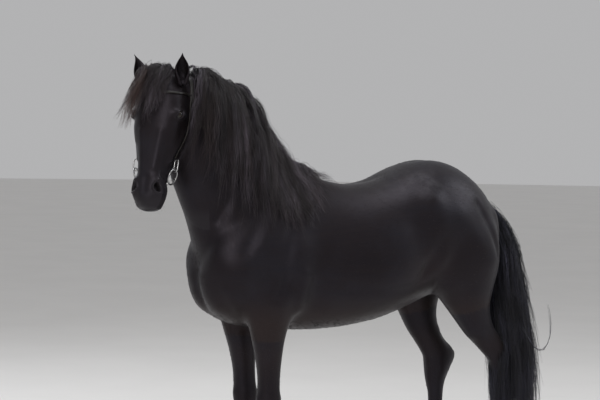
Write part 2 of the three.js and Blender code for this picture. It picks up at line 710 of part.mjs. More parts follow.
// A smooth closed form that covers a row of paths, from their roots to a share of their length.
function cover(paths, thick) {
  const across = paths.length;
  const along = paths[0].length;
  const points = [1, -1].flatMap((face) =>
    paths.flatMap((path) =>
      path.map(({ point, normal }, i) => {
        const half = (thick / 2) * (1 - 0.7 * (i / (along - 1)));
        return point.clone().addScaledVector(normal, face * half);
      })
    )
  );
  const id = (face, i, k) => (face * across + i) * along + k;
  const index = [];
  const quad = (a, b, c, d) => index.push(a, b, c, a, c, d);
  for (let i = 0; i + 1 < across; i++)
    for (let k = 0; k + 1 < along; k++) {
      quad(id(0, i, k), id(0, i, k + 1), id(0, i + 1, k + 1), id(0, i + 1, k));
      quad(id(1, i, k), id(1, i + 1, k), id(1, i + 1, k + 1), id(1, i, k + 1));
    }
  for (let k = 0; k + 1 < along; k++) {
    quad(id(0, 0, k + 1), id(0, 0, k), id(1, 0, k), id(1, 0, k + 1));
    quad(id(0, across - 1, k), id(0, across - 1, k + 1), id(1, across - 1, k + 1), id(1, across - 1, k));
  }
  for (let i = 0; i + 1 < across; i++) {
    quad(id(0, i, 0), id(0, i + 1, 0), id(1, i + 1, 0), id(1, i, 0));
    quad(id(0, i + 1, along - 1), id(0, i, along - 1), id(1, i, along - 1), id(1, i + 1, along - 1));
  }
  const geometry = new THREE.BufferGeometry().setFromPoints(points);
  geometry.setIndex(index);
  if (volumeOf(geometry) < 0) {
    for (let i = 0; i < index.length; i += 3) [index[i + 1], index[i + 2]] = [index[i + 2], index[i + 1]];
    geometry.setIndex(index);
  }
  return solidOf(geometry);
}

const down = V(0, 0, -1);
const fineSkins = {
  trunk: withRelief(loft(trunkRows, 48, 4), trunkForms),
  neck: loft(neckStations, 40, 5),
  head: withRelief(loft(headRows, 48, 4), headForms).applyMatrix4(headMatrix),
};
const hindSkins = [legs.hind_left, legs.hind_right].map(({ rows }) => loft(rows, 24, 4));
const earSkins = [earSkin(ears.left), earSkin(ears.right)];
const maneSamples = samplesOf([fineSkins.trunk, fineSkins.neck, fineSkins.head]);
const foreSamples = samplesOf([fineSkins.head, ...earSkins]);
const tailSamples = samplesOf([fineSkins.trunk, ...hindSkins]);

// One path of the mane: share 0 at the withers and 1 behind the poll, side 1 to the left.
function manePath(share, side, stretch) {
  const station = stationAt(neckStations, lerp(mane.from, mane.to, share));
  const root = station.a.clone().addScaledVector(station.side, side * 8);
  const start = V(0, 0.1, 0.8).addScaledVector(station.side, side * 0.9);
  const pull = down.clone().add(V(side * 0.12, lerp(0.25, -0.05, share), 0)).normalize();
  const length = spline(mane.lengths, share * (mane.lengths.length - 1)) * stretch;
  const { steps, clearance } = mane;
  return hairPath({ root, start, pull, weight: 0.62, length, steps, clearance, samples: maneSamples });
}

// One path of the forelock: share 0 at the left ear and 1 at the right one.
function forelockPath(share, clearance, stretch = 1, steps = 5) {
  const place = V(lerp(40, -44, share), 14, 18);
  const root = onSkin(fromHead(V(0, 90, -60)), fromHead(place)).point;
  const start = directionFromHead(V(lerp(0.35, -0.75, share), -0.8, 0.75));
  const pull = directionFromHead(V(lerp(0.15, -0.22, share ** 2), -0.05, -1).normalize());
  const length = lerp(forelock.lengths[0], forelock.lengths[1], share) * stretch;
  const samples = foreSamples;
  return hairPath({ root, start, pull, weight: 0.55, length, steps, clearance, samples });
}

const maneShares = Array.from({ length: mane.paths }, (_, i) => i / (mane.paths - 1));
const maneForm = (side, stretch) =>
  cover(maneShares.map((share) => manePath(share, side, stretch)), mane.thick);

function maneRidge() {
  const { radius, rise } = mane.ridge;
  const line = maneShares.map((share) =>
    stationAt(neckStations, lerp(mane.from, mane.to, share)).a.clone().add(V(0, 0, rise))
  );
  return solidOf(
    sweep(line, (point, direction, i) => {
      const fromEnd = min(maneShares[i], 1 - maneShares[i]);
      return roundRing(point, direction, radius * min(1, 0.3 + 5 * fromEnd), 8);
    })
  );
}

function forelockSolids() {
  const random = seeded(19);
  const solids = [];
  for (let i = 0; i < forelock.count; i++) {
    const share = (i + random(0.2, 0.8)) / forelock.count;
    const clearance = forelock.clearance + forelock.layer * (i % 3);
    const path = forelockPath(share, clearance, random(0.8, 1.15));
    solids.push(lock(path, forelock.width * random(0.85, 1.2), forelock.thick));
  }
  return solids;
}

// The tail's locks leave the dock in turn, spread round its line, and hang along it to the tips.
function tailSolids() {
  const random = seeded(23);
  const line = new THREE.CatmullRomCurve3(tailLine.map(([x, y, z]) => V(x, y, z)));
  const radii = tailLine.map((row) => row[3]);
  const last = tailLine.length - 1;
  const steps = 5;
  const solids = [];
  for (let i = 0; i < tail.count; i++) {
    const turn = 2.4 * i;
    const spread = Math.sqrt((i + 0.5) / tail.count);
    const from = random(0.02, 0.24);
    const to = random(0.78, 1);
    const path = [];
    for (let k = 0; k <= steps; k++) {
      const t = lerp(from, to, k / steps);
      const centre = line.getPoint(t);
      const radius = spline(radii, t * last) * spread * min(1, 0.25 + (2.4 * k) / steps);
      const out = V(cos(turn), sin(turn), 0);
      const point = centre.addScaledVector(out, radius);
      if (k > 0) keepClear(tailSamples, point, tail.clearance);
      point.z = max(point.z, tail.lowest);
      path.push({ point, normal: out });
    }
    solids.push(lock(path, tail.width * random(0.8, 1.2), tail.thick));
  }
  const coreSteps = 5;
  const coreShare = 0.45; // the core under the locks reaches this far towards their tips
  const core = Array.from({ length: coreSteps }, (_, k) => line.getPoint((coreShare * k) / (coreSteps - 1)));
  const coreSkin = sweep(core, (point, direction, k) => {
    const radius = spline(radii, ((coreShare * k) / (coreSteps - 1)) * last) * 0.62 * (1 - 0.5 * (k / coreSteps));
    return roundRing(point, direction, radius, 6);
  });
  return [...solids, solidOf(coreSkin)];
}

// Bridle
// Straps lie on the skin at a clearance, along a line.
function headSpots(line, clearance, steps) {
  return smoothLine(line, steps).map((p) => {
    const from = fromHead(V(0, max(p.y, 100), min(p.z, -60)));
    return onSkin(from, fromHead(p), clearance);
  });
}

function throatSpots(side, clearance, steps) {
  const line = throatLine.map((p) => V(neckMiddle + side * p.x, p.y, p.z));
  line.unshift(fromHead(mirrored(throatTop, side)));
  return smoothLine(line, steps).map((p) => onSkin(V(neckMiddle, p.y, p.z), p, clearance));
}

function strapSolid(spots, { width, thick }) {
  const points = spots.map(({ point }) => point);
  const skin = sweep(points, (point, direction, i) => {
    const across = direction.clone().cross(spots[i].normal).normalize();
    const out = across.clone().cross(direction);
    const corner = (a, b) => point.clone().addScaledVector(across, a).addScaledVector(out, b);
    const half = width / 2;
    return [corner(half, 0), corner(half, thick), corner(-half, thick), corner(-half, 0)];
  });
  return solidOf(skin);
}

const bothSides = (line) => [...line, ...line.slice(0, -1).reverse().map((p) => mirrored(p, -1))];

// A wire ring, stretched lengthwise, with a normal
function wireRing({ place, normal, radius, wire, stretch = 0 }, side, extra = 0) {
  const ring = new THREE.TorusGeometry(radius, wire + extra, 5, 16);
  const position = ring.getAttribute("position");
  for (let i = 0; i < position.count; i++)
    position.setY(i, position.getY(i) + sign(Math.round(position.getY(i))) * stretch);
  const out = mirrored(normal, side).normalize();
  const long = V(0, 0, 1).addScaledVector(out, -out.z).normalize();
  const across = long.clone().cross(out);
  const spot = mirrored(place, side);
  const turn = new THREE.Matrix4().makeBasis(across, long, out).setPosition(spot);
  return solidOf(bareMerged(ring).applyMatrix4(turn).applyMatrix4(headMatrix));
}

function barSolid({ from, to, radius }, side) {
  const points = [from, to].map((p) => fromHead(mirrored(p, side)));
  return solidOf(sweep(points, (point, direction) => roundRing(point, direction, radius, 6)));
}

// Body in its nodes
const headPlane = {
  point: fromHead(headNeckPlane.point),
  normal: directionFromHead(headNeckPlane.normal),
};
const legSolid = (rows) => solidOf(loft(rows, sideCount.leg, ringsPerSpan.leg));
const wholeHead = headSolid();
const headNode = largest(wholeHead.intersect(halfSpace(headPlane)));
const headWithGap = solidOf(grown(skins.head, 1.5 * gap)).intersect(halfSpace(headPlane, -gap));
const neckAndTrunk = solidOf(skins.neck)
  .add(wholeHead.intersect(halfSpace(flipped(headPlane), gap)))
  .subtract(headWithGap)
  .add(solidOf(skins.trunk));
const neckNode = largest(neckAndTrunk.intersect(halfSpace(neckTrunkPlane)));
const trunkPart = neckAndTrunk.intersect(halfSpace(flipped(neckTrunkPlane), gap));
const upperLegs = Object.values(legs).map(({ rows, plane }) =>
  legSolid(rows).intersect(halfSpace(flipped(plane)))
);
const torsoNode = largest(together([trunkPart, ...upperLegs]));

const hindLegsWithGap = together(
  [legs.hind_left, legs.hind_right].map(({ rows }) =>
    solidOf(grown(loft(rows, sideCount.leg, ringsPerSpan.leg), 2 * gap))
  )
);
const tailNode = largest(
  together(tailSolids())
    .subtract(torsoNode.translate(0, gap, -gap / 2))
    .subtract(hindLegsWithGap)
);
const skinWithGap = headWithGap.add(solidOf(grown(skins.head, 1.5 * gap))).add(solidOf(grown(skins.neck, 1.5 * gap)));

addNode("torso", geometryOf(torsoNode), "coat");
const trunkWithGap = solidOf(grown(skins.trunk, 1.5 * gap));
const maneSolid = together([maneForm(1, 1), maneForm(-1, mane.rightShare), maneRidge()])
  .subtract(trunkWithGap)
  .subtract(headWithGap);
addNode("neck", geometryOf(largest(neckNode.add(maneSolid))), "coat");
const earsWithGap = together(earSkins.map((skin) => solidOf(grown(skin, 2 * gap))));
const forelockSolid = together(forelockSolids()).subtract(earsWithGap);
addNode("head", geometryOf(largest(headNode.add(forelockSolid))), "coat");
addNode("tail", geometryOf(tailNode), "hair");
for (const [name, side] of [["left", 1], ["right", -1]]) {
  const eyeBall = ballSolid(mirrored(eye.place, side), eyeRadius);
  addNode(`eye_${name}`, geometryOf(eyeBall), "eye");
  const earAxis = directionFromHead(ears[name].tip.clone().sub(ears[name].base).normalize());
  const lifted = headNode.translate(earAxis.clone().multiplyScalar(2 * gap).toArray());
  addNode(`ear_${name}`, geometryOf(largest(solidOf(earSkin(ears[name])).subtract(lifted))), "coat");
}
for (const [name, { rows, plane, joint }] of Object.entries(legs)) {
  const below = legSolid(rows).intersect(halfSpace(plane, gap));
  const upper = largest(below.intersect(halfSpace(level(joint))));
  const lower = largest(below.intersect(halfSpace(level(joint, -1), gap)));
  addNode(`${name}_upper`, geometryOf(upper), "coat");
  addNode(`${name}_lower`, geometryOf(lower), "coat");
  addNode(`${name}_hoof`, geometryOf(solidOf(hoofSkin(rows))), "horn");
}

// Bridle nodes
const strapNode = (name, spots, size) =>
  addNode(name, geometryOf(largest(strapSolid(spots, size).subtract(skinWithGap))), "leather");
const { clearance } = strap;
strapNode("crownpiece", headSpots(bothSides(crownLine), clearance, 14), strap);
strapNode("browband", headSpots(bothSides(browLine), clearance, 16), { ...strap, width: 9 });
for (const [name, side] of [["left", 1], ["right", -1]]) {
  const cheek = cheekLine.map((p) => mirrored(p, side));
  strapNode(`cheekpiece_${name}`, headSpots(cheek, clearance, 9), { ...strap, width: 10 });
  strapNode(`throatlatch_${name}`, throatSpots(side, clearance, 12), { ...strap, width: 8 });
  addNode(`cheek_link_${name}`, geometryOf(wireRing(link, side)), "steel");
  addNode(`bit_ring_${name}`, geometryOf(wireRing(bitRing, side)), "steel");
  const bar = barSolid(bitEnd, side).subtract(wireRing(bitRing, side, gap)).subtract(skinWithGap);
  addNode(`bit_end_${name}`, geometryOf(largest(bar)), "steel");
}

// Origin on the floor, in the middle of the model's box
const box = new THREE.Box3().setFromObject(horse);
horse.position.set(-(box.min.x + box.max.x) / 2, -(box.min.y + box.max.y) / 2, -box.min.z);

export default horse;
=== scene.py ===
# A life-size black Icelandic horse in a show bridle, standing with its head turned to its left.
# Tables are in millimetres, y = 0 under the withers; meshes are in metres, moved onto the frame.
import math
import bmesh
import bpy
import numpy as np
from mathutils import Matrix, Vector
from mathutils.bvhtree import BVHTree


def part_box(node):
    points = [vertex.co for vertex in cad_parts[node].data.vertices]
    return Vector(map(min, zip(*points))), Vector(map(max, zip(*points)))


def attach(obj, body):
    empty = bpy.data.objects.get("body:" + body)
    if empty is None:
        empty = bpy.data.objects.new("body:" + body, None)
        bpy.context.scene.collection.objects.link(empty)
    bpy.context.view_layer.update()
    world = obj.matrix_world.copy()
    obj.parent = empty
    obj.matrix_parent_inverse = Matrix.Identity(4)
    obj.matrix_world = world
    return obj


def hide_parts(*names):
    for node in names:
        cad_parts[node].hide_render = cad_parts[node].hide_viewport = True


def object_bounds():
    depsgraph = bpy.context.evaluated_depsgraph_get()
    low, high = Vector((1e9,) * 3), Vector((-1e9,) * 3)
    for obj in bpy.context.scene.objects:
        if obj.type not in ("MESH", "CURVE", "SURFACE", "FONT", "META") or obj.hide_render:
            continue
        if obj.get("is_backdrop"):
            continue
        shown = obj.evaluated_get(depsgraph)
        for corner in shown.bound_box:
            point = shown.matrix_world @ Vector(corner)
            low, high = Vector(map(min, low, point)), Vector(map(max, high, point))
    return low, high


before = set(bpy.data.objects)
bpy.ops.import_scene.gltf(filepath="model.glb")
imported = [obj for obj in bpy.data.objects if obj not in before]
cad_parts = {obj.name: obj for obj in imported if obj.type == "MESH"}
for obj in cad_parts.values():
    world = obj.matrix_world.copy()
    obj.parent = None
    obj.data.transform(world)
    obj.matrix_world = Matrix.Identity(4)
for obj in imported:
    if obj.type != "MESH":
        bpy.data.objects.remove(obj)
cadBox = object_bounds()

headPlace = {"poll": (47, -617, 1739), "turn": 42.4, "nod": -17.4}
eyePlace = {"place": (88, 40, -152), "out": (0.93, -0.35, 0.08), "fissure": (0, 0.57, 0.82), "radius": 19}


def headMatrix():
    turn = Matrix.Rotation(math.radians(headPlace["turn"]), 3, "Z")
    nod = Matrix.Rotation(math.radians(headPlace["nod"]), 3, "X")
    return np.array(turn @ nod)


headTurn = headMatrix()
poll = np.array(headPlace["poll"], float)


def fromHead(points):
    return np.asarray(points, float) @ headTurn.T + poll


def toHead(points):
    return (np.asarray(points, float) - poll) @ headTurn


def headDirection(vector):
    return np.asarray(vector, float) @ headTurn.T


def unit(v):
    v = np.asarray(v, float)
    return v / np.maximum(np.linalg.norm(v, axis=-1, keepdims=True), 1e-9)


low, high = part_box("eye_left")
eyeMiddle = (np.array(low) + np.array(high)) / 2
shift = eyeMiddle - fromHead([eyePlace["place"]])[0] / 1000  # from the tables' origin to the frame's
print("placing: shift", np.round(shift, 4))


cameraView = {
    "azimuth": 62.008, "distance": 8.0, "height": 1.584, "lookAt": (0, 0.033, 1.245), "lens": 118.96,
    "sensor": 36, "farthest": 100, "roll": 0.013,
}


def makeCamera(c):
    a = math.radians(c["azimuth"])
    target = Vector(c["lookAt"])
    eye = Vector((c["distance"] * math.sin(a), target.y - c["distance"] * math.cos(a), c["height"]))
    move = Vector(shift)
    data = bpy.data.cameras.new("camera")
    data.lens = c["lens"]
    data.sensor_width = c["sensor"]
    data.clip_end = c["farthest"]
    camera = bpy.data.objects.new("camera", data)
    bpy.context.scene.collection.objects.link(camera)
    look = (target - eye).to_track_quat("-Z", "Y").to_matrix().to_4x4()
    camera.matrix_world = Matrix.Translation(eye + move) @ look @ Matrix.Rotation(c["roll"], 4, "Z")
    bpy.context.scene.camera = camera


makeCamera(cameraView)


def newObject(name, mesh):
    piece = bpy.data.objects.new(name, mesh)
    bpy.context.scene.collection.objects.link(piece)
    return piece


def makePiece(name, verts, faces):
    # verts in millimetres in the tables' frame
    mesh = bpy.data.meshes.new(name)
    mesh.from_pydata((np.asarray(verts) / 1000 + shift).tolist(), [], faces)
    mesh.update()
    mesh.shade_smooth()
    return newObject(name, mesh)


def triangles(piece):
    return sum(len(face.vertices) - 2 for face in piece.data.polygons)


def meshPoints(mesh, kind="co"):
    values = np.empty(len(mesh.vertices) * 3, np.float32)
    mesh.vertices.foreach_get(kind, values)
    return values.reshape(-1, 3).astype(float)


def setPoints(mesh, points):
    mesh.vertices.foreach_set("co", np.asarray(points, np.float32).ravel())
    mesh.update()


def addValues(mesh, name, values, kind="FLOAT"):
    layer = mesh.attributes.new(name, kind, "POINT")
    layer.data.foreach_set("vector" if kind == "FLOAT_VECTOR" else "value", np.asarray(values, np.float32).ravel())


def applied(piece):
    # the evaluated piece as a plain mesh, in its place
    graph = bpy.context.evaluated_depsgraph_get()
    mesh = bpy.data.meshes.new_from_object(piece.evaluated_get(graph), preserve_all_data_layers=True, depsgraph=graph)
    piece.modifiers.clear()
    old = piece.data
    piece.data = mesh
    mesh.name = piece.name
    bpy.data.meshes.remove(old)
    return piece


def splineRows(rows, t):
    rows = np.asarray(rows, float)
    last = len(rows) - 1
    i = np.clip(np.floor(t).astype(int), 0, last - 1)
    u = (t - i)[:, None]
    p1, p2 = rows[i], rows[i + 1]
    p0 = np.where((i > 0)[:, None], rows[np.maximum(i - 1, 0)], 2 * p1 - p2)
    p3 = np.where((i + 2 <= last)[:, None], rows[np.minimum(i + 2, last)], 2 * p2 - p1)
    m1, m2 = (p2 - p0) / 2, (p3 - p1) / 2
    return p1 + u * m1 + u**2 * (3 * (p2 - p1) - 2 * m1 - m2) + u**3 * (2 * (p1 - p2) + m1 + m2)


def tripleSum(corners, a, b, c):
    return np.einsum("ij,ij->i", corners[:, a], np.cross(corners[:, b], corners[:, c])).sum()


def closedRings(rings, ends):
    # rings (count, sides, 3) joined into a closed skin with a pole at each end
    count, sides = rings.shape[:2]
    verts = np.concatenate([rings.reshape(-1, 3), np.asarray(ends, float)])
    r, s = np.meshgrid(np.arange(count - 1), np.arange(sides), indexing="ij")
    p, q = r * sides + s, r * sides + (s + 1) % sides
    faces = np.stack([p, p + sides, q + sides, q], -1).reshape(-1, 4)
    k, last = np.arange(sides), (count - 1) * sides
    caps = [
        np.stack([np.full(sides, count * sides), k, (k + 1) % sides], -1),
        np.stack([np.full(sides, count * sides + 1), last + (k + 1) % sides, last + k], -1),
    ]
    volume = tripleSum(verts[faces], 0, 1, 2) + tripleSum(verts[faces], 0, 2, 3)
    volume += sum(tripleSum(verts[cap], 0, 1, 2) for cap in caps)
    every = faces.tolist() + caps[0].tolist() + caps[1].tolist()
    if volume < 0:  # the rings run the other way, so every face turns round
        every = [face[::-1] for face in every]
    return verts, every


def loft(rows, sides, perSpan):
    rows = np.asarray(rows, float)
    t = np.arange((len(rows) - 1) * perSpan + 1) / perSpan
    at = splineRows(rows, t)
    a, b, w, m, na, nb = at[:, 0:3], at[:, 3:6], at[:, 6, None], at[:, 7, None], at[:, 8, None], at[:, 9, None]
    turn = np.radians(at[:, 10])
    angle = 2 * np.pi * (np.arange(sides) + 0.5) / sides
    across, along = np.cos(angle)[None], np.sin(angle)[None]
    power = 2 / np.where(along >= 0, na, nb)
    reach = np.where(along >= 0, 1 - m, m)
    up = m + np.sign(along) * np.abs(along) ** power * reach
    out = np.sign(across) * np.abs(across) ** power * w
    side = np.stack([np.cos(turn), np.sin(turn), 0 * turn], 1)
    rings = b[:, None] + (a - b)[:, None] * up[..., None] + side[:, None] * out[..., None]
    ends = [b[k] + (a[k] - b[k]) * m[k] for k in (0, -1)]
    return closedRings(rings, ends)


# The body as rows of sections
trunkStations = [  # y, top z, bottom z, half width, level of the widest point, roundness above, below
    [-414, 1080, 900, 60, 0.5, 2, 2],
    [-398, 1150, 846, 120, 0.5, 2.1, 2],
    [-355, 1210, 795, 168, 0.48, 2.1, 2.1],
    [-285, 1262, 757, 196, 0.46, 2.1, 2.1],
    [-190, 1312, 738, 214, 0.44, 2, 2.1],
    [-90, 1352, 728, 222, 0.42, 1.8, 2.1],
    [10, 1376, 722, 232, 0.42, 1.6, 2.1],
    [110, 1338, 722, 250, 0.43, 1.75, 2.1],
    [230, 1312, 732, 272, 0.44, 2.05, 2.1],
    [360, 1330, 755, 282, 0.45, 2.2, 2.1],
    [480, 1382, 792, 274, 0.48, 2.2, 2.1],
    [600, 1412, 838, 262, 0.5, 2.15, 2.1],
    [715, 1394, 868, 244, 0.48, 2.1, 2.1],
    [815, 1335, 878, 210, 0.46, 2.1, 2.1],
    [892, 1262, 915, 150, 0.45, 2, 2],
    [934, 1185, 985, 72, 0.45, 2, 2],
]
neckStations = [  # crest x, y, z, throat x, y, z, half width, level, roundness above, below, turn
    [0, 150, 1240, 0, -230, 880, 130, 0.45, 2, 2, 0],
    [0, 55, 1352, 0, -385, 950, 165, 0.42, 1.7, 2.1, 0],
    [0, -35, 1402, 0, -428, 1060, 145, 0.4, 1.6, 2.1, 0],
    [4, -130, 1468, 4, -472, 1185, 116, 0.4, 1.6, 2.1, 3],
    [12, -235, 1578, 10, -518, 1300, 104, 0.42, 1.6, 2.1, 8],
    [24, -345, 1682, 14, -544, 1392, 94, 0.45, 1.7, 2.1, 16],
    [33, -455, 1742, 14, -548, 1452, 82, 0.48, 1.9, 2.1, 25],
    [30, -566, 1724, 5, -535, 1488, 66, 0.5, 2, 2, 34],
]
headStations = [  # z, face y, jaw y, half width, level, roundness to the face, to the jaw
    [22, 40, 92, 34, 0.5, 2, 2],
    [12, 16, 148, 66, 0.6, 2, 2],
    [-25, 2, 205, 86, 0.62, 2.1, 1.9],
    [-72, -8, 234, 99, 0.64, 2.3, 1.9],
    [-126, -11, 248, 106, 0.66, 2.4, 1.8],
    [-184, -9, 252, 105, 0.66, 2.5, 1.75],
    [-242, -3, 234, 92, 0.62, 2.5, 1.9],
    [-300, 3, 194, 75, 0.6, 2.4, 2],
    [-358, 8, 158, 63, 0.58, 2.3, 2.1],
    [-412, 10, 138, 58, 0.56, 2.2, 2.2],
    [-460, 13, 130, 60, 0.52, 2.2, 2.2],
    [-494, 22, 126, 55, 0.5, 2.2, 2.2],
    [-516, 40, 117, 43, 0.5, 2.1, 2.1],
    [-526, 60, 99, 24, 0.5, 2, 2],
]
foreStations = [  # x, front y, back y, front z, back z, half width, roundness in front, behind
    [112, -292, -40, 1085, 1075, 68, 2, 2],
    [128, -300, -42, 985, 975, 84, 2, 2],
    [134, -290, -44, 890, 890, 82, 2, 2],
    [132, -268, -60, 805, 818, 74, 2, 2],
    [128, -245, -90, 720, 732, 62, 2, 2],
    [123, -222, -106, 640, 644, 51, 2.1, 2],
    [119, -208, -112, 560, 560, 43, 2.1, 2],
    [116, -206, -112, 500, 498, 41, 2.2, 2.2],
    [114, -208, -108, 452, 452, 44, 2.3, 2.3],
    [113, -200, -112, 408, 404, 38, 2.3, 2.3],
    [112, -184, -118, 360, 356, 27, 2.2, 2.1],
    [112, -180, -118, 300, 296, 25, 2.2, 2.1],
    [112, -186, -112, 246, 242, 29, 2.2, 2.1],
    [112, -194, -106, 206, 206, 34, 2.1, 2.1],
    [112, -206, -134, 168, 152, 29, 2.1, 2.1],
    [112, -228, -148, 124, 98, 34, 2.1, 2.1],
    [112, -246, -142, 88, 56, 43, 2.1, 2.1],
]
hindStations = [
    [110, 520, 800, 1290, 1270, 80, 2, 2],
    [130, 480, 872, 1170, 1160, 108, 2, 2],
    [140, 470, 896, 1050, 1060, 112, 2, 2],
    [142, 490, 880, 950, 965, 106, 2, 2],
    [140, 566, 846, 868, 880, 92, 2, 2],
    [137, 632, 820, 780, 800, 74, 2, 2],
    [134, 694, 834, 692, 718, 57, 2, 2],
    [131, 758, 884, 622, 650, 45, 2.1, 1.9],
    [130, 800, 950, 570, 584, 40, 2.2, 1.8],
    [130, 812, 944, 520, 526, 42, 2.2, 1.9],
    [130, 822, 914, 460, 464, 36, 2.2, 2],
    [130, 834, 904, 405, 408, 28, 2.2, 2.1],
    [130, 836, 902, 330, 332, 26, 2.2, 2.1],
    [130, 828, 904, 262, 258, 30, 2.2, 2.1],
    [130, 822, 908, 218, 216, 35, 2.1, 2.1],
    [130, 808, 880, 176, 162, 30, 2.1, 2.1],
    [130, 790, 868, 126, 102, 35, 2.1, 2.1],
    [130, 772, 868, 88, 58, 43, 2.1, 2.1],
]
stance = {  # side, shift of the hoof, top of the shifted part, stations
    "fore_left": (1, 0, 900, foreStations),
    "fore_right": (-1, 12, 900, foreStations),
    "hind_left": (1, 72, 1050, hindStations),
    "hind_right": (-1, -98, 1050, hindStations),
}
hoofShape = {"toe": 34, "heel": 14, "flare": 8, "gap": 0.3}

trunkRows = [[0, y, top, 0, y, bottom, w, m, na, nb, 0] for y, top, bottom, w, m, na, nb in trunkStations]
headRows = [[0, face, z, 0, jaw, z, w, m, na, nb, 0] for z, face, jaw, w, m, na, nb in headStations]


def legRows(side, offset, top, stations):
    rows = []
    for x, front, back, zf, zb, w, na, nb in stations:
        f = offset * min(1, max(0, (top - zf) / 500))
        g = offset * min(1, max(0, (top - zb) / 500))
        rows.append([side * x, front + f, zf, side * x, back + g, zb, w, 0.5, na, nb, 0])
    return rows


legs = {name: legRows(*leg) for name, leg in stance.items()}

# Forms that rise from or sink into the skin: from, to, radius, height, both sides
bodyForms = [
    ((120, -395, 1010), (185, -330, 960), 75, 16, True),  # point of shoulder
    ((60, -425, 930), (85, -380, 840), 62, 16, True),  # breast muscle
    ((0, -440, 960), (0, -400, 800), 26, -16, False),  # breast groove
    ((190, -180, 1220), (215, -270, 1050), 62, 10, True),  # shoulder blade
    ((212, -90, 1050), (210, -130, 880), 78, 16, True),  # upper arm muscle
    ((228, 20, 1000), (222, 10, 860), 48, -10, True),  # behind the arm
    ((235, 520, 1250), (230, 545, 1180), 52, 12, True),  # hip
    ((268, 430, 1150), (262, 470, 1010), 66, -12, True),  # flank
    ((0, 120, 1340), (0, 380, 1330), 34, -5, False),  # line of the back
    ((0, 560, 1420), (0, 800, 1380), 30, -7, False),  # line of the croup
]
fineForms = [
    ((170, -140, 1300), (222, -235, 1080), 20, 6, True),  # ridge of the shoulder blade
    ((188, -230, 1200), (205, -300, 1060), 26, -6, True),  # hollow before it
    ((205, -100, 1180), (226, -150, 1000), 30, -6, True),  # behind the blade
    ((216, -60, 960), (190, -70, 830), 34, 9, True),  # elbow and triceps
    ((222, -140, 960), (205, -175, 870), 20, -6, True),  # groove under the upper arm
    ((150, -345, 900), (165, -300, 780), 34, 8, True),  # front of the forearm
    ((200, -60, 760), (185, -75, 700), 22, -5, True),
    ((262, 120, 900), (250, 420, 880), 30, -4, True),  # under the ribs
    ((262, 470, 920), (235, 545, 1090), 26, -7, True),  # fold of the flank
    ((236, 560, 1000), (228, 620, 900), 52, 8, True),  # stifle muscle
    ((250, 640, 1180), (215, 800, 1000), 60, 7, True),  # thigh muscle
    ((215, 760, 1230), (205, 860, 1020), 22, -6, True),  # groove of the buttock
    ((120, 892, 1180), (90, 915, 1040), 34, 7, True),  # point of the buttock
    ((172, 700, 830), (168, 770, 700), 40, 7, True),  # second thigh
    ((80, 40, 1395), (95, 130, 1340), 40, 4, True),  # beside the withers
    ((98, -300, 1330), (120, -390, 1180), 24, -7, True),  # jugular groove, lower part
    ((92, -390, 1420), (108, -300, 1300), 40, 6, True),  # neck muscle
]
legForms = {
    "fore": [  # in the leg's own frame: side 1, no shift
        ((116, -214, 462), (116, -212, 430), 20, 4), ((150, -170, 470), (150, -165, 430), 14, 4),  # knee
        ((84, -160, 470), (84, -155, 430), 14, 4), ((116, -108, 470), (116, -106, 440), 14, 6),
        ((134, -150, 380), (132, -148, 240), 7, -3), ((92, -150, 380), (92, -148, 240), 7, -3),  # tendon groove
        ((112, -112, 216), (112, -108, 196), 18, 5), ((140, -172, 606), (136, -180, 520), 16, 4),
        ((140, -190, 96), (84, -190, 96), 12, 3), ((112, -240, 100), (112, -244, 92), 20, 3),
    ],
    "hind": [
        ((130, 956, 575), (130, 948, 545), 18, 5), ((160, 870, 560), (158, 880, 500), 20, 4),  # hock
        ((98, 868, 560), (100, 876, 500), 20, 4), ((130, 800, 560), (130, 812, 520), 16, -3),
        ((154, 872, 400), (150, 872, 250), 7, -3), ((108, 872, 400), (110, 872, 250), 7, -3),
        ((130, 908, 226), (130, 906, 206), 18, 5), ((148, 860, 660), (140, 900, 610), 14, -6),
        ((112, 860, 660), (118, 900, 610), 14, -6), ((130, 780, 96), (130, 772, 92), 20, 3),
    ],
}
headForms = [
    ((84, 44, -170), (88, 70, -190), 30, -9, True),  # eye socket
    ((82, 24, -150), (98, 52, -150), 17, 11, True),  # brow
    ((74, 52, -106), (80, 66, -118), 22, -9, True),  # hollow over the eye
    ((92, 92, -208), (66, 70, -322), 13, 7, True),  # cheek crest
    ((74, 150, -145), (70, 165, -208), 52, 11, True),  # cheek muscle
    ((42, 0, -228), (28, 12, -368), 14, 3, True),  # side of the nose bone
    ((58, 45, -282), (52, 50, -388), 20, -6, True),  # hollow by the nose
    ((50, 26, -418), (56, 44, -468), 20, 8, True),  # nostril wall
    ((0, 10, -412), (0, 16, -462), 15, -4, False),  # between the nostrils
    ((0, 28, -506), (0, 34, -512), 26, 3, False),  # upper lip
    ((56, 74, -436), (38, 62, -508), 11, 4, True),  # edge of the upper lip
    ((55, 100, -436), (38, 90, -506), 11, 4, True),  # edge of the lower lip
    ((0, 126, -456), (0, 122, -488), 24, 8, False),  # chin
    ((0, 144, -412), (0, 144, -390), 22, -8, False),  # chin groove
    ((0, 224, -232), (0, 174, -318), 24, -10, False),  # hollow between the jaws
    ((90, 120, -262), (64, 80, -372), 9, 3, True),  # cheek muscle to the mouth
    ((86, 150, -262), (76, 108, -330), 16, -4, True),
    ((70, 62, -226), (48, 34, -330), 5, 2.2, True),  # vein below the eye
    ((88, 96, -116), (92, 120, -132), 15, 5, True),  # cheekbone's hinge
    ((60, 20, -96), (40, 4, -60), 26, 4, True),  # forehead muscle
    ((98, 160, -60), (88, 190, -140), 20, -5, True),  # behind the jaw
]


def distanceToLine(points, start, end):
    start, end = np.array(start, float), np.array(end, float)
    line = end - start
    t = np.clip((points - start) @ line / (line @ line), 0, 1)
    return np.linalg.norm(points - start - t[:, None] * line, axis=1)


def swell(distance, radius):
    return np.exp(-((distance / radius) ** 2))


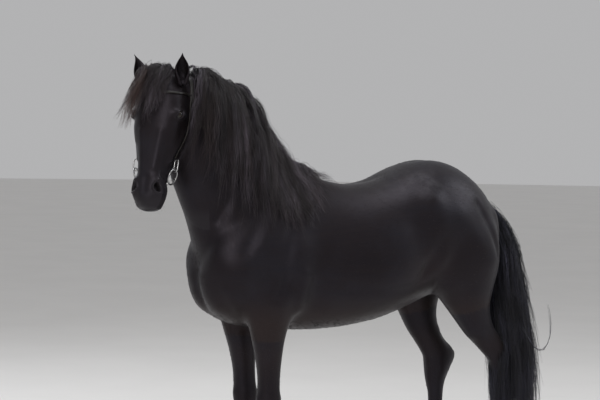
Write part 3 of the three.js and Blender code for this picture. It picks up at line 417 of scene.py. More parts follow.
def relief(points, forms):
    height = np.zeros(len(points))
    for start, end, radius, rise, both in forms:
        for side in ((1, -1) if both else (1,)):
            flip = np.array([side, 1, 1])
            height += rise * swell(distanceToLine(points, flip * start, flip * end), radius)
    return height


def smoothStep(low, high, value):
    t = np.clip((value - low) / (high - low), 0, 1)
    return t * t * (3 - 2 * t)


skinTuning = {  # smoothing in rounds; legEdge: the heights between which the smoothing of the body ends
    "voxel": 0.0094, "bodySmooth": 32, "headSmooth": 5, "onHead": 0.12, "offLegs": 0.9, "legEdge": (600, 760),
    "fineRise": 1.5, "coatDepth": 0.8,
}
headEdge = {"place": (0, 75, 0), "way": (0, -0.626, -0.78), "from": -45, "to": -5, "within": (170, 300, 60)}


def headShare(points):
    # 1 on the head, 0 on the neck
    p = toHead(points)
    away = (p - headEdge["place"]) @ np.array(headEdge["way"])
    x, y, z = headEdge["within"]
    return smoothStep(headEdge["from"], headEdge["to"], away) * (p[:, 2] < z) * (np.abs(p[:, 0]) < x) * (p[:, 1] < y)


def lowerLegShare(points):
    return 1 - smoothStep(*skinTuning["legEdge"], points[:, 2])


def rawSkin():
    verts, faces, offset = [], [], 0
    parts = [loft(trunkRows, 96, 6), loft(neckStations, 72, 8), loft(headRows, 96, 8)]
    parts[2] = (fromHead(parts[2][0]), parts[2][1])
    parts += [loft(rows, 44, 6) for rows in legs.values()]
    for v, f in parts:
        verts.append(v)
        faces += [[i + offset for i in face] for face in f]
        offset += len(v)
    mesh = bpy.data.meshes.new("skin")
    mesh.from_pydata((np.concatenate(verts) / 1000).tolist(), [], faces)
    piece = newObject("skin", mesh)
    remesh = piece.modifiers.new("remesh", "REMESH")
    remesh.mode = "VOXEL"
    remesh.voxel_size = skinTuning["voxel"]
    return applied(piece)


def smoothPart(piece, weights, rounds):
    group = piece.vertex_groups.new(name="soft")
    steps = np.round(np.clip(weights, 0, 1) * 10).astype(int)
    for step in range(1, 11):
        group.add(np.nonzero(steps == step)[0].tolist(), step / 10, "REPLACE")
    soft = piece.modifiers.new("soft", "SMOOTH")
    soft.factor = 0.5
    soft.iterations = rounds
    soft.vertex_group = "soft"
    applied(piece)
    piece.vertex_groups.clear()


def splitFaces(mesh, wanted):
    # cuts the faces whose middle is wanted into four
    work = bmesh.new()
    work.from_mesh(mesh)
    middles = np.array([face.calc_center_median() for face in work.faces]) * 1000
    chosen = wanted(middles)
    edges = {edge for face, take in zip(work.faces, chosen) if take for edge in face.edges}
    bmesh.ops.subdivide_edges(work, edges=list(edges), cuts=1, use_grid_fill=True, smooth=0.0)
    bmesh.ops.triangulate(work, faces=[face for face in work.faces if len(face.verts) > 4])
    work.to_mesh(mesh)
    work.free()


nostrilShape = {  # hole: parts of its size between which it deepens; rim: place, width and rise
    "place": (48, 24, -446), "along": (0.3, 0.3, -0.9), "out": (0.72, -0.68, -0.12), "half": (10.5, 20),
    "bend": 0.018, "depth": 24, "hole": (0.45, 1.05), "rim": (1.32, 0.3, 4.5), "reach": 34,
}
mouthShape = {"depth": 9.5, "width": 3.4, "lips": (8, 5, 3.0), "corner": (7, 3)}
finer = {"eye": 44, "nostril": 34, "mouth": 14, "lids": 33}  # how near to each the faces are cut finer
mouthPath = [(57, 86, -410), (60, 88, -444), (52, 82, -478), (30, 76, -508), (0, 72, -524)]


def bothSides(p):
    # the head's two sides laid on each other, with x positive
    return p * (np.sign(p[:, :1]) * (1, 0, 0) + (0, 1, 1))


def gapTo(points, place):
    return np.linalg.norm(points - place, axis=1)


def mouthGap(points):
    return np.min([distanceToLine(points, a, b) for a, b in zip(mouthPath, mouthPath[1:])], axis=0)


def nearFeatures(middles):
    p = bothSides(toHead(middles))
    near = (gapTo(p, eyePlace["place"]) < finer["eye"]) | (gapTo(p, nostrilShape["place"]) < finer["nostril"])
    return near | (mouthGap(p) < finer["mouth"])


def nearEye(middles):
    return gapTo(bothSides(toHead(middles)), eyePlace["place"]) < finer["lids"]


def eyeAxes(side):
    # the eye's middle, and the ways out of the head, along the slit and across it
    flip = np.array([side, 1, 1])
    out = unit(flip * eyePlace["out"])
    slit = flip * eyePlace["fissure"]
    slit = unit(slit - out * (slit @ out))
    return flip * eyePlace["place"], out, slit, np.cross(out, slit) * side


lidShape = {  # fold and rim: place in parts of the slit's size, width and rise
    "halfLength": 17.5, "upper": 10, "lower": 7.5, "bow": 0.16, "thick": 2.6, "sink": 5, "soft": 10, "slope": 2.2,
    "edge": (0.9, 1.06), "fold": (1.35, 0.16, -0.9), "rim": (1.12, 0.1, 1.1), "front": (-2, 8), "reach": (34, 46),
}


def shapeEyes(p):
    # p in the head's frame: skin drawn over the eyeball, open along the lids
    lid = lidShape
    ball, inside = eyePlace["radius"] + lid["thick"], eyePlace["radius"] - lid["sink"]
    for side in (1, -1):
        centre, out, slit, across = eyeAxes(side)
        d = p - centre
        u, v, w = d @ slit, d @ across, d @ out
        r = np.maximum(np.linalg.norm(d, axis=1), 1e-6)
        half = np.where(v > 0, lid["upper"], lid["lower"]) * (1 - lid["bow"] * (u / lid["halfLength"]) ** 2)
        ring = np.sqrt((u / lid["halfLength"]) ** 2 + (v / half) ** 2) + 1e-6
        wrap = np.clip((r - ball) / lid["soft"], -3, 3)
        outside = ball + lid["soft"] * np.log1p(np.exp(wrap * lid["slope"])) / lid["slope"]
        for place, width, rise in (lid["fold"], lid["rim"]):
            outside += rise * swell(ring - place, width)
        target = inside + (outside - inside) * smoothStep(*lid["edge"], ring)
        fade = np.where(ring < 1.8, 1, 1 - smoothStep(*lid["reach"], r))
        moved = centre + d / r[:, None] * (r + (target - r) * smoothStep(*lid["front"], w) * fade)[:, None]
        p = np.where(((r < lid["reach"][1]) & (w > -4))[:, None], moved, p)
    return p


def shapeNostrils(p, normals):
    shape = nostrilShape
    place, width, rise = shape["rim"]
    for side in (1, -1):
        flip = np.array([side, 1, 1])
        down, out = unit(flip * shape["along"]), unit(flip * shape["out"])
        out = unit(out - down * (out @ down))
        d = p - flip * shape["place"]
        u, v, w = d @ down, d @ np.cross(down, out), d @ out
        bend = v + shape["bend"] * u * u * side
        ring = np.sqrt((u / shape["half"][1]) ** 2 + (bend / shape["half"][0]) ** 2)
        near = (np.abs(w) < shape["reach"]).astype(float)
        hole = (1 - smoothStep(*shape["hole"], ring)) * near
        rim = swell(ring - place, width) * near
        p = p - out * (hole * shape["depth"])[:, None] + normals * (rim * rise)[:, None]
    return p


def shapeMouth(p, normals):
    flat = bothSides(p)
    gap, (away, wide, rise), (radius, sink) = mouthGap(flat), mouthShape["lips"], mouthShape["corner"]
    height = rise * swell(gap - away, wide) - mouthShape["depth"] * swell(gap, mouthShape["width"])
    height -= sink * swell(gapTo(flat, mouthPath[0]), radius)
    return p + normals * height[:, None]


def legFormsAt(points):
    height = np.zeros(len(points))
    for name, (side, offset, top, stations) in stance.items():
        back = offset * np.clip((top - points[:, 2]) / 500, 0, 1)
        local = points * (side, 1, 1) - np.stack([0 * back, back, 0 * back], 1)
        mine = (local[:, 0] > 10) & (points[:, 2] < 720)
        for start, end, radius, rise in legForms[name.split("_")[0]]:
            height += mine * rise * swell(distanceToLine(local, start, end), radius)
    return height


def makeSkin():
    piece = rawSkin()
    points = meshPoints(piece.data) * 1000
    head = headShare(points)
    share = np.where(head > 0.5, skinTuning["onHead"], 1 - skinTuning["offLegs"] * lowerLegShare(points))
    smoothPart(piece, share, skinTuning["bodySmooth"])
    splitFaces(piece.data, lambda m: headShare(m) > 0.4)
    smoothPart(piece, headShare(meshPoints(piece.data) * 1000), skinTuning["headSmooth"])
    splitFaces(piece.data, nearFeatures)
    splitFaces(piece.data, nearEye)
    mesh = piece.data
    points, normals = meshPoints(mesh) * 1000, meshPoints(mesh, "normal")
    head = headShare(points)
    height = relief(points, bodyForms) + skinTuning["fineRise"] * relief(points, fineForms)
    height = height * (1 - head) + legFormsAt(points)
    height += relief(toHead(points), headForms) * head - skinTuning["coatDepth"]
    points = points + normals * height[:, None]
    setPoints(mesh, points / 1000)
    normals = meshPoints(mesh, "normal")
    local, turned = toHead(points), normals @ headTurn
    shaped = shapeEyes(shapeNostrils(shapeMouth(local, turned * head[:, None]), turned))
    points = np.where((head > 0.3)[:, None], fromHead(shaped), points)
    setPoints(mesh, points / 1000)
    mesh.shade_smooth()
    return piece


skin = makeSkin()
print("skin:", len(skin.data.vertices), "points,", triangles(skin), "triangles")


ears = {
    1: {"base": (86, 42, -24), "tip": (98, -20, 80), "open": (0.5, -0.8, -0.2)},
    -1: {"base": (-84, 42, -24), "tip": (-108, -14, 76), "open": (-0.5, -0.8, -0.2)},
}
earLook = {"levels": 29, "points": 17, "flat": 0.8, "curl": 7, "rim": 0.35, "root": 14}
earSections = [  # half width, half angle of the cup's wall in degrees, wall thickness
    [23, 168, 7], [26, 158, 6], [29, 145, 5.5], [30, 128, 5], [28, 112, 4.5], [23, 98, 4], [15, 84, 3], [6, 70, 1.8],
]


def earMesh(ear):
    base, tip = np.array(ear["base"], float), np.array(ear["tip"], float)
    axis, front = unit(tip - base), np.array(ear["open"], float)
    front = unit(front - axis * (front @ axis))
    across = np.cross(axis, front)
    last = len(earSections) - 1
    spread = np.linspace(-1, 1, earLook["points"])
    rings = []
    for t in np.linspace(0, 1, earLook["levels"]):
        radius, angle, wall = splineRows(earSections, np.array([t * last]))[0]
        share = t * last / len(earSections)
        centre = base + (tip - base) * share - front * earLook["curl"] * math.sin(math.pi * share)
        turn = np.radians(angle * spread)
        thin = radius - wall * (1 - earLook["rim"] * np.abs(spread) ** 6)
        for reach, way in ((radius, 1), (thin, -1)):
            cup = front * (-reach * earLook["flat"] * np.cos(turn))[:, None] + across * (reach * np.sin(turn))[:, None]
            rings.append((centre + cup)[::way])
    verts, faces = closedRings(np.array(rings).reshape(earLook["levels"], -1, 3), [base - axis * earLook["root"], tip])
    return fromHead(verts), faces


def addMesh(piece, verts, faces):
    # joins more geometry into a piece
    extra = bpy.data.meshes.new("extra")
    extra.from_pydata((np.asarray(verts) / 1000).tolist(), [], faces)
    work = bmesh.new()
    work.from_mesh(piece.data)
    work.from_mesh(extra)
    work.to_mesh(piece.data)
    work.free()
    bpy.data.meshes.remove(extra)
    piece.data.shade_smooth()


for ear in ears.values():
    addMesh(skin, *earMesh(ear))

# The skin as the hair feels it: nearest place, and outward normal
bodyTree = BVHTree.FromPolygons(
    (meshPoints(skin.data) * 1000).tolist(), [list(face.vertices) for face in skin.data.polygons]
)


def nearest(point):
    place, normal, _, _ = bodyTree.find_nearest(Vector(point))
    return np.array(place), np.array(normal)


def keepClear(point, clearance):
    place, normal = nearest(point)
    height = (point - place) @ normal
    gap = np.linalg.norm(point - place)
    if height < 0 or gap < clearance:
        point = place + normal * clearance
    return point, normal


# Unwrap: each skin point's place on a chart of its own part of the body
charts = {  # part: place of the chart of its left side, then of its right side (u, v, width, height)
    "trunk": ((0, 0, 0.5, 0.36), (0.5, 0, 0.5, 0.36)),
    "neck": ((0, 0.36, 0.25, 0.24), (0.25, 0.36, 0.25, 0.24)),
    "head": ((0.5, 0.36, 0.25, 0.3), (0.75, 0.36, 0.25, 0.3)),
    "fore_left": ((0, 0.68, 0.12, 0.32), (0.12, 0.68, 0.12, 0.32)),
    "fore_right": ((0.25, 0.68, 0.12, 0.32), (0.37, 0.68, 0.12, 0.32)),
    "hind_left": ((0.5, 0.68, 0.12, 0.32), (0.62, 0.68, 0.12, 0.32)),
    "hind_right": ((0.75, 0.68, 0.12, 0.32), (0.87, 0.68, 0.12, 0.32)),
}
chartNames = list(charts)
neckEdge = {"place": (0, -170, 1210), "way": (0, -0.62, 0.785)}
chartLines = {  # the line round which each part is unwrapped
    "trunk": {"height": 1040, "slope": 0.06}, "neck": {"place": (10, -200, 1230), "way": (0.03, -0.72, 0.69)},
    "head": {"depth": 95},
}
chartRange = {
    "trunk": (-440, 960), "neck": (-420, 560), "head": (-540, 110), "fore": (50, 720), "hind": (50, 760),
}


def partOf(points):
    part = np.zeros(len(points), int)
    neck = (points - neckEdge["place"]) @ np.array(neckEdge["way"]) > 0
    part[neck] = 1
    part[headShare(points) > 0.5] = 2
    local = toHead(points)
    ear = (local[:, 2] > 10) & (local[:, 1] < 75)
    part[ear] = 2
    x, y, z = points.T
    for k, name in enumerate(chartNames[3:], 3):
        side = 1 if name.endswith("left") else -1
        own = (y < 300) & (z < 700) if name.startswith("fore") else (y > 300) & (z < 742 + 0.25 * (y - 560))
        part[own & (np.sign(x + 1e-9) == side)] = k
    return part


def chartCoordinates(points, part):
    # angle round the part's own axis, and place along it
    angle, along = np.zeros(len(points)), np.zeros(len(points))
    for k, name in enumerate(chartNames):
        own = part == k
        p = points[own]
        if name == "trunk":
            middle = chartLines[name]["height"] + chartLines[name]["slope"] * p[:, 1]
            angle[own], along[own] = np.arctan2(p[:, 0], p[:, 2] - middle), p[:, 1]
        elif name == "neck":
            axis = unit(chartLines[name]["way"])
            d = p - chartLines[name]["place"]
            across = d @ unit(np.cross(axis, (1, 0, 0)))
            angle[own], along[own] = np.arctan2(d[:, 0], -across), d @ axis
        elif name == "head":
            local = toHead(p)
            angle[own], along[own] = np.arctan2(local[:, 0], -(local[:, 1] - chartLines[name]["depth"])), local[:, 2]
        else:
            rows = np.array(legs[name])
            order = np.argsort(rows[:, 2])
            centre = np.interp(p[:, 2], rows[order, 2], (rows[order, 1] + rows[order, 4]) / 2)
            angle[own], along[own] = np.arctan2(p[:, 0] - rows[8, 0], -(p[:, 1] - centre)), p[:, 2]
    return angle, along


def chartPlace(part, angle, along, leftSide):
    place = np.zeros((len(part), 2))
    for k, name in enumerate(chartNames):
        low, high = chartRange[name.split("_")[0]]
        for left, rect in zip((True, False), charts[name]):
            own = (part == k) & (leftSide == left)
            around = np.clip(angle[own] if left else -angle[own], -0.15, math.pi + 0.15)
            u = rect[0] + rect[2] * (0.04 + 0.92 * around / math.pi)
            v = rect[1] + rect[3] * (0.03 + 0.94 * np.clip((along[own] - low) / (high - low), -0.02, 1.02))
            place[own] = np.stack([u, v], 1)
    return place


def rootPlaces(points):
    part = partOf(points)
    angle, along = chartCoordinates(points, part)
    return chartPlace(part, angle, along, angle >= 0)


def unwrapSkin(mesh):
    points = meshPoints(mesh) * 1000
    loops = np.empty(len(mesh.loops), np.int32)
    mesh.loops.foreach_get("vertex_index", loops)
    starts = np.array([face.loop_start for face in mesh.polygons])
    counts = np.array([face.loop_total for face in mesh.polygons])
    owner = np.repeat(np.arange(len(starts)), counts)
    middles = np.add.reduceat(points[loops], starts, axis=0) / counts[:, None]
    part = partOf(middles)[owner]
    angle, along = chartCoordinates(points[loops], part)
    middleAngle = chartCoordinates(middles, partOf(middles))[0][owner]
    over, under = (middleAngle > 1.6) & (angle < -0.5), (middleAngle < -1.6) & (angle > 0.5)
    wrapped = angle + 2 * np.pi * over - 2 * np.pi * under
    place = chartPlace(part, wrapped, along, middleAngle >= 0)
    layer = mesh.uv_layers.new(name="OFBake")
    layer.data.foreach_set("uv", place.astype(np.float32).ravel())


coatWays = {
    "trunk": (0, 0.95, -0.3), "neck": (0, 0.62, -0.78), "head": (0, 0.15, -1), "leg": (0, 0.2, -1), "ear": (0, 0.1, 1),
}


def coatLie(points, normals):
    # the way the coat lies; on head and ears the way is in the head's frame
    part, local = partOf(points), toHead(points)
    ear = (local[:, 2] > 10) & (np.abs(local[:, 0]) > 50)
    lie = np.tile(coatWays["trunk"], (len(points), 1))
    lie[part == 1], lie[part == 2] = coatWays["neck"], headDirection(coatWays["head"])
    lie[part >= 3], lie[ear] = coatWays["leg"], headDirection(coatWays["ear"])
    lie -= normals * np.einsum("ij,ij->i", lie, normals)[:, None]
    return unit(lie)


tuftLooks = {  # length in millimetres, and how thickly they stand
    "body": (10, 0.1), "leg": (8, 0.3), "coronet": (15, 3.0), "head": (4.5, 0.4), "face": (2.6, 0.3),
    "belly": (3, 0.5), "chest": (0, 0.25), "seat": (0, 0.3), "jaw": (11, 0), "bareEye": 36,
}


def tuftSizes(points):
    part, local = partOf(points), toHead(points)
    x, y, z = points.T
    head, leg = part == 2, part >= 3
    jaw = head * smoothStep(150, 215, local[:, 1])
    where = {"body": np.ones(len(points), bool), "leg": leg, "coronet": leg & (z < 126), "head": head}
    where["face"] = head & (local[:, 2] < -380)
    more = {
        "belly": (part == 0) * (1 - smoothStep(740, 830, z)) * (np.abs(x) < 150),
        "chest": (y < -300) * swell(x, 60) * (z < 1150),
        "seat": (y > 800) * (np.abs(x) < 120) * (z > 880),
        "jaw": jaw,
    }
    size, dense = np.zeros(len(points)), np.zeros(len(points))
    for name, own in where.items():
        size[own], dense[own] = tuftLooks[name]
    for name, share in more.items():
        share = share * (where["face"] == 0) * ((name == "jaw") | ~(head | leg))
        size += tuftLooks[name][0] * share
        dense += tuftLooks[name][1] * share
    dense[gapTo(bothSides(local), eyePlace["place"]) < tuftLooks["bareEye"]] = 0
    return size, dense


skinPoints = meshPoints(skin.data) * 1000
skinNormals = meshPoints(skin.data, "normal")
size, dense = tuftSizes(skinPoints)
addValues(skin.data, "lie", coatLie(skinPoints, skinNormals), "FLOAT_VECTOR")
addValues(skin.data, "rootPlace", np.pad(rootPlaces(skinPoints), ((0, 0), (0, 1))), "FLOAT_VECTOR")
addValues(skin.data, "tuftSize", size / 1000)
addValues(skin.data, "tuftShare", dense)
unwrapSkin(skin.data)
setPoints(skin.data, meshPoints(skin.data) + shift)
print("ears, unwrap and lie of the coat done")


# Hair: guides grown over the skin, each with a clump of strands round it
hairTuning = {"steps": 11, "sides": 3, "patch": 0.003}


def growGuide(root, start, pull, weight, length, clearance, crest=1.0):
    # the guide leaves along start, is drawn towards pull, and lies over the skin at its clearance
    direction = unit(start)
    place, normal = nearest(root)
    point = place.copy()
    path, normals = [place - normal * 3], [normal]
    last = hairTuning["steps"] - 1
    for i in range(1, last + 1):
        share = (i / last) ** 1.4 - ((i - 1) / last) ** 1.4
        point = point + direction * length * share
        point, normal = keepClear(point, clearance * min(1, 0.3 + 0.35 * i) * (1 + (crest - 1) * math.exp(-0.5 * i)))
        direction = unit(unit(point - path[-1]) * (1 - weight) + np.asarray(pull) * weight)
        path.append(point)
        normals.append(normal)
    return np.array(path), np.array(normals)


strandLook = {  # what differs from strand to strand, and how the whole lock bends
    "loose": (0.7, 1.3), "strays": 0.1, "strayReach": 2.2, "lockTurns": (5, 9), "lockBend": 1.6,
    "turns": (7, 16), "wave": (0.4, 1.5), "radius": (0.75, 1.15), "thin": 0.8,
}


def waysAlong(points, normals):
    # the ways across a line and out of the skin, at each of its points
    tangent = unit(np.gradient(points, axis=0))
    across = unit(np.cross(tangent, normals))
    return across, np.cross(across, tangent)


def clumpStrands(guide, rng, count, width, taper, frizz, thick, shorter=0.35, flat=0.45):
    # strands round a guide: (count, steps, 3), their radii and their own random tints
    path, look = guide[0], strandLook
    steps = len(path)
    t = np.linspace(0, 1, steps)
    across, out = waysAlong(*guide)
    angle, reach = rng.uniform(0, 2 * np.pi, count), np.sqrt(rng.uniform(0, 1, count))
    a, b = reach * np.cos(angle), reach * np.sin(angle) * flat
    loose = rng.uniform(*look["loose"], count) + look["strayReach"] * (rng.uniform(0, 1, count) > 1 - look["strays"])
    size = width * (0.5 + 0.5 * np.minimum(1, t * 4)) * (1 - taper * t**1.3)
    at = t[None] * rng.uniform(1 - shorter, 1.0, count)[:, None] * (steps - 1)
    low = np.clip(at.astype(int), 0, steps - 2)
    mix = (at - low)[..., None]

    def along(values):
        return values[low] * (1 - mix) + values[low + 1] * mix

    spread = (along(size[:, None])[..., 0] * loose[:, None])[..., None]
    lines = along(path) + along(across) * a[:, None, None] * spread + along(out) * b[:, None, None] * spread
    bend = np.sin(rng.uniform(*look["lockTurns"]) * t + rng.uniform(0, 6.3)) * frizz * look["lockBend"] * t**0.7
    lines += (across * bend[:, None])[None] + (out * np.abs(bend)[:, None])[None] * 0.5
    phase = rng.uniform(0, 2 * np.pi, (count, 2))
    pace = rng.uniform(*look["turns"], (count, 1))
    wave = rng.uniform(*look["wave"], (count, 1)) * frizz * t[None] ** 0.8
    lines += along(across) * (wave * np.sin(pace * t[None] + phase[:, :1]))[..., None]
    lines += along(out) * (0.5 * wave * np.sin(1.3 * pace * t[None] + phase[:, 1:]))[..., None]
    radius = thick * rng.uniform(*look["radius"], (count, 1)) * (1 - look["thin"] * t[None] ** 2.2)
    return lines, radius, rng.uniform(0, 1, count)


def newTree(name, inputs, output, kinds):
    # a tree of Geometry Nodes with named inputs; kinds: each node's short name and its type
    tree = bpy.data.node_groups.new(name, "GeometryNodeTree")
    for label, kind in inputs.items():
        tree.interface.new_socket(label, in_out="INPUT", socket_type=f"NodeSocket{kind}")
    tree.interface.new_socket(output, in_out="OUTPUT", socket_type="NodeSocketGeometry")
    kinds = {"in": "NodeGroupInput", "out": "NodeGroupOutput", **kinds}
    return tree, {label: tree.nodes.new(kind) for label, kind in kinds.items()}


def wire(tree, node, *pairs):
    # each pair: a node's output, and the input it feeds, by name or by number
    for pair in pairs:
        ends = []
        for spot, side in zip(pair.split(), ("outputs", "inputs")):
            label, socket = spot.split(".")
            ends.append(getattr(node[label], side)[int(socket) if socket.isdigit() else socket.replace("_", " ")])
        tree.links.new(*ends)


def strandTree():
    # edges become closed tapered tubes, as thick as their points say
    tree, node = newTree("strands", {"Lines": "Geometry", "Sides": "Int", "Finish": "Material"}, "Strands", {
        "curve": "GeometryNodeMeshToCurve", "thick": "GeometryNodeInputNamedAttribute",
        "radius": "GeometryNodeSetCurveRadius", "circle": "GeometryNodeCurvePrimitiveCircle",
        "tube": "GeometryNodeCurveToMesh", "smooth": "GeometryNodeSetShadeSmooth",
        "real": "GeometryNodeRealizeInstances", "finish": "GeometryNodeSetMaterial",
    })
    node["thick"].data_type = "FLOAT"
    node["thick"].inputs["Name"].default_value = "thick"
    node["circle"].inputs["Radius"].default_value = 1
    node["tube"].inputs["Fill Caps"].default_value = True
    wire(
        tree, node, "in.Lines curve.Mesh", "curve.Curve radius.Curve", "thick.Attribute radius.Radius",
        "in.Sides circle.Resolution", "radius.Curve tube.Curve", "circle.Curve tube.Profile_Curve",
        "tube.Mesh smooth.Geometry", "smooth.Geometry real.Geometry", "real.Geometry finish.Geometry",
        "in.Finish finish.Material", "finish.Geometry out.Strands",
    )
    if "Scale" in node["tube"].inputs:
        wire(tree, node, "thick.Attribute tube.Scale")
    return tree


def runTree(piece, tree, values):
    # sets the inputs by their sockets' identifiers, and keeps the result as a plain mesh
    modifier = piece.modifiers.new(tree.name, "NODES")
    modifier.node_group = tree
    for item in tree.interface.items_tree:
        if item.item_type == "SOCKET" and item.in_out == "INPUT" and item.name in values:
            modifier[item.identifier] = values[item.name]
    return applied(piece)


def bakePlaces(mesh):
    # each tuft is a small patch at its root's place on the skin's chart
    roots = np.empty(len(mesh.vertices) * 3, np.float32)
    mesh.attributes["rootPlace"].data.foreach_get("vector", roots)
    along = np.empty(len(mesh.vertices), np.float32)
    mesh.attributes["along"].data.foreach_get("value", along)
    share = (np.arange(len(mesh.vertices)) % 3) / 3
    place = roots.reshape(-1, 3)[:, :2] + hairTuning["patch"] * np.stack([share, along], 1)
    loops = np.empty(len(mesh.loops), np.int32)
    mesh.loops.foreach_get("vertex_index", loops)
    layer = mesh.uv_layers.get("OFBake") or mesh.uv_layers.new(name="OFBake")
    layer.data.foreach_set("uv", place[loops].astype(np.float32).ravel())
    for name in ("rootPlace", "thick", "lie", "tuftSize", "tuftShare"):
        if name in mesh.attributes:
            mesh.attributes.remove(mesh.attributes[name])


strands = strandTree()


def makeHair(name, clumps, finish):
    # clumps: (lines, radii, tints, sun) in millimetres, in the tables' frame
    steps = hairTuning["steps"]
    lines, radius, tint = (np.concatenate([clump[k] for clump in clumps]) for k in range(3))
    sun = np.concatenate([np.full(len(clump[0]), clump[3]) for clump in clumps])
    count = len(lines)
    edges = (np.arange(count)[:, None] * steps + np.arange(steps - 1)[None])[..., None] + [0, 1]
    mesh = bpy.data.meshes.new(name)
    mesh.from_pydata((lines.reshape(-1, 3) / 1000 + shift).tolist(), edges.reshape(-1, 2).tolist(), [])
    t = np.tile(np.linspace(0, 1, steps), count)
    addValues(mesh, "thick", radius.ravel() / 1000)
    addValues(mesh, "along", t)
    addValues(mesh, "tint", np.repeat(tint, steps))
    addValues(mesh, "sun", np.repeat(sun, steps) * t)
    roots = np.repeat(rootPlaces(lines[:, 0]), steps, axis=0)
    addValues(mesh, "rootPlace", np.pad(roots, ((0, 0), (0, 1))), "FLOAT_VECTOR")
    piece = runTree(newObject(name, mesh), strands, {"Sides": hairTuning["sides"], "Finish": finish})
    bakePlaces(piece.data)
    print(name, count, "strands,", triangles(piece), "triangles")
    return piece


# Node groups that more than one finish uses
def newGroup(name, inputs, outputs):
    tree = bpy.data.node_groups.new(name, "ShaderNodeTree")
    for label, kind, value in inputs:
        socket = tree.interface.new_socket(label, in_out="INPUT", socket_type=f"NodeSocket{kind}")
        socket.default_value = value
    for label in outputs:
        tree.interface.new_socket(label, in_out="OUTPUT", socket_type="NodeSocketFloat")
    return tree, {"in": tree.nodes.new("NodeGroupInput"), "out": tree.nodes.new("NodeGroupOutput")}


def addNode(tree, kind, values=None, **settings):
    node = tree.nodes.new(kind)
    for name, value in settings.items():
        setattr(node, name, value)
    for socket, value in (values or {}).items():
        node.inputs[socket].default_value = value
    return node


def makeGrain():
    # fine streaks: their frequency across and along the coordinates' first two axes
    inputs = [("Place", "Vector", (0, 0, 0)), ("Across", "Float", 800), ("Along", "Float", 120)]
    tree, node = newGroup("grain", inputs, ("Height", "Tone"))
    node["scale"] = addNode(tree, "ShaderNodeCombineXYZ", {"Z": 300})
    node["stretch"] = addNode(tree, "ShaderNodeVectorMath", operation="MULTIPLY")
    fine = {"Scale": 1, "Detail": 3, "Roughness": 0.7, "Distortion": 0.4}
    wide = {"Scale": 0.12, "Detail": 2, "Roughness": 0.6}
    node["fine"], node["wide"] = (addNode(tree, "ShaderNodeTexNoise", values) for values in (fine, wide))
    wire(
        tree, node, "in.Across scale.X", "in.Along scale.Y", "in.Place stretch.0", "scale.Vector stretch.1",
        "stretch.Vector fine.Vector", "stretch.Vector wide.Vector", "fine.Fac out.Height", "wide.Fac out.Tone",
    )
    return tree


def makePatches():
    # soft patches of another tone, from none to full between low and high
    inputs = [("Place", "Vector", (0, 0, 0)), ("Scale", "Float", 6), ("Low", "Float", 0.45), ("High", "Float", 0.65)]
    tree, node = newGroup("patches", inputs, ("Mask",))
    node["noise"] = addNode(tree, "ShaderNodeTexNoise", {"Detail": 4, "Roughness": 0.6})
    node["ramp"] = addNode(tree, "ShaderNodeMapRange", interpolation_type="SMOOTHSTEP")
    wire(
        tree, node, "in.Place noise.Vector", "in.Scale noise.Scale", "noise.Fac ramp.Value",
        "in.Low ramp.From_Min", "in.High ramp.From_Max", "ramp.Result out.Mask",
    )
    return tree


grain, patches = makeGrain(), makePatches()


def newFinish(name, **values):
    finish = bpy.data.materials.new(name)
    finish.use_nodes = True
    tree = finish.node_tree
    shader = tree.nodes["Principled BSDF"]
    for socket, value in values.items():
        shader.inputs[socket.replace("_", " ")].default_value = value
    return finish, tree, shader


def groupNode(tree, group, **values):
    node = tree.nodes.new("ShaderNodeGroup")
    node.node_tree = group
    for name, value in values.items():
        node.inputs[name].default_value = value
    return node


def attribute(tree, name):
    return addNode(tree, "ShaderNodeAttribute", attribute_name=name, attribute_type="GEOMETRY")


def mixColour(tree, first, second, factor):
    # first and second: colours, or sockets that carry them
    mix = addNode(tree, "ShaderNodeMix", data_type="RGBA")
    for socket, value in ((mix.inputs[6], first), (mix.inputs[7], second)):
        if isinstance(value, tuple):
            socket.default_value = (*value, 1)
        else:
            tree.links.new(value, socket)
    if isinstance(factor, (int, float)):
        mix.inputs[0].default_value = factor
    else:
        tree.links.new(factor, mix.inputs[0])
    return mix.outputs[2]


def times(tree, first, second):
    node = addNode(tree, "ShaderNodeMath", operation="MULTIPLY")
    for socket, value in zip(node.inputs, (first, second)):
        if isinstance(value, (int, float)):
            socket.default_value = value
        else:
            tree.links.new(value, socket)
    return node.outputs[0]


def remap(tree, value, low, high, outLow, outHigh):
    ends = {"From Min": low, "From Max": high, "To Min": outLow, "To Max": outHigh}
    node = addNode(tree, "ShaderNodeMapRange", ends)
    tree.links.new(value, node.inputs["Value"])
    return node.outputs["Result"]


def byObject(tree, *nodes):
    # lays the textures out by the object's own coordinates
    coords = addNode(tree, "ShaderNodeTexCoord")
    for node in nodes:
        tree.links.new(coords.outputs["Object"], node.inputs["Place" if "Place" in node.inputs else "Vector"])


def paint(tree, shader, colour, rough):
    tree.links.new(colour, shader.inputs["Base Color"])
    tree.links.new(rough, shader.inputs["Roughness"])


def bumpTo(tree, shader, height, strength, distance, before=None):
    bump = addNode(tree, "ShaderNodeBump", {"Strength": strength, "Distance": distance})
    tree.links.new(height, bump.inputs["Height"])
    if before:
        tree.links.new(before, bump.inputs["Normal"])
    tree.links.new(bump.outputs["Normal"], shader.inputs["Normal"])
    return bump.outputs["Normal"]


coatTones = {
    "black": (0.0048, 0.0038, 0.0046), "brown": (0.021, 0.0135, 0.0095), "dust": (0.05, 0.049, 0.053),
    "bare": (0.0165, 0.015, 0.0158), "blue": (0.0078, 0.0082, 0.0115),
}


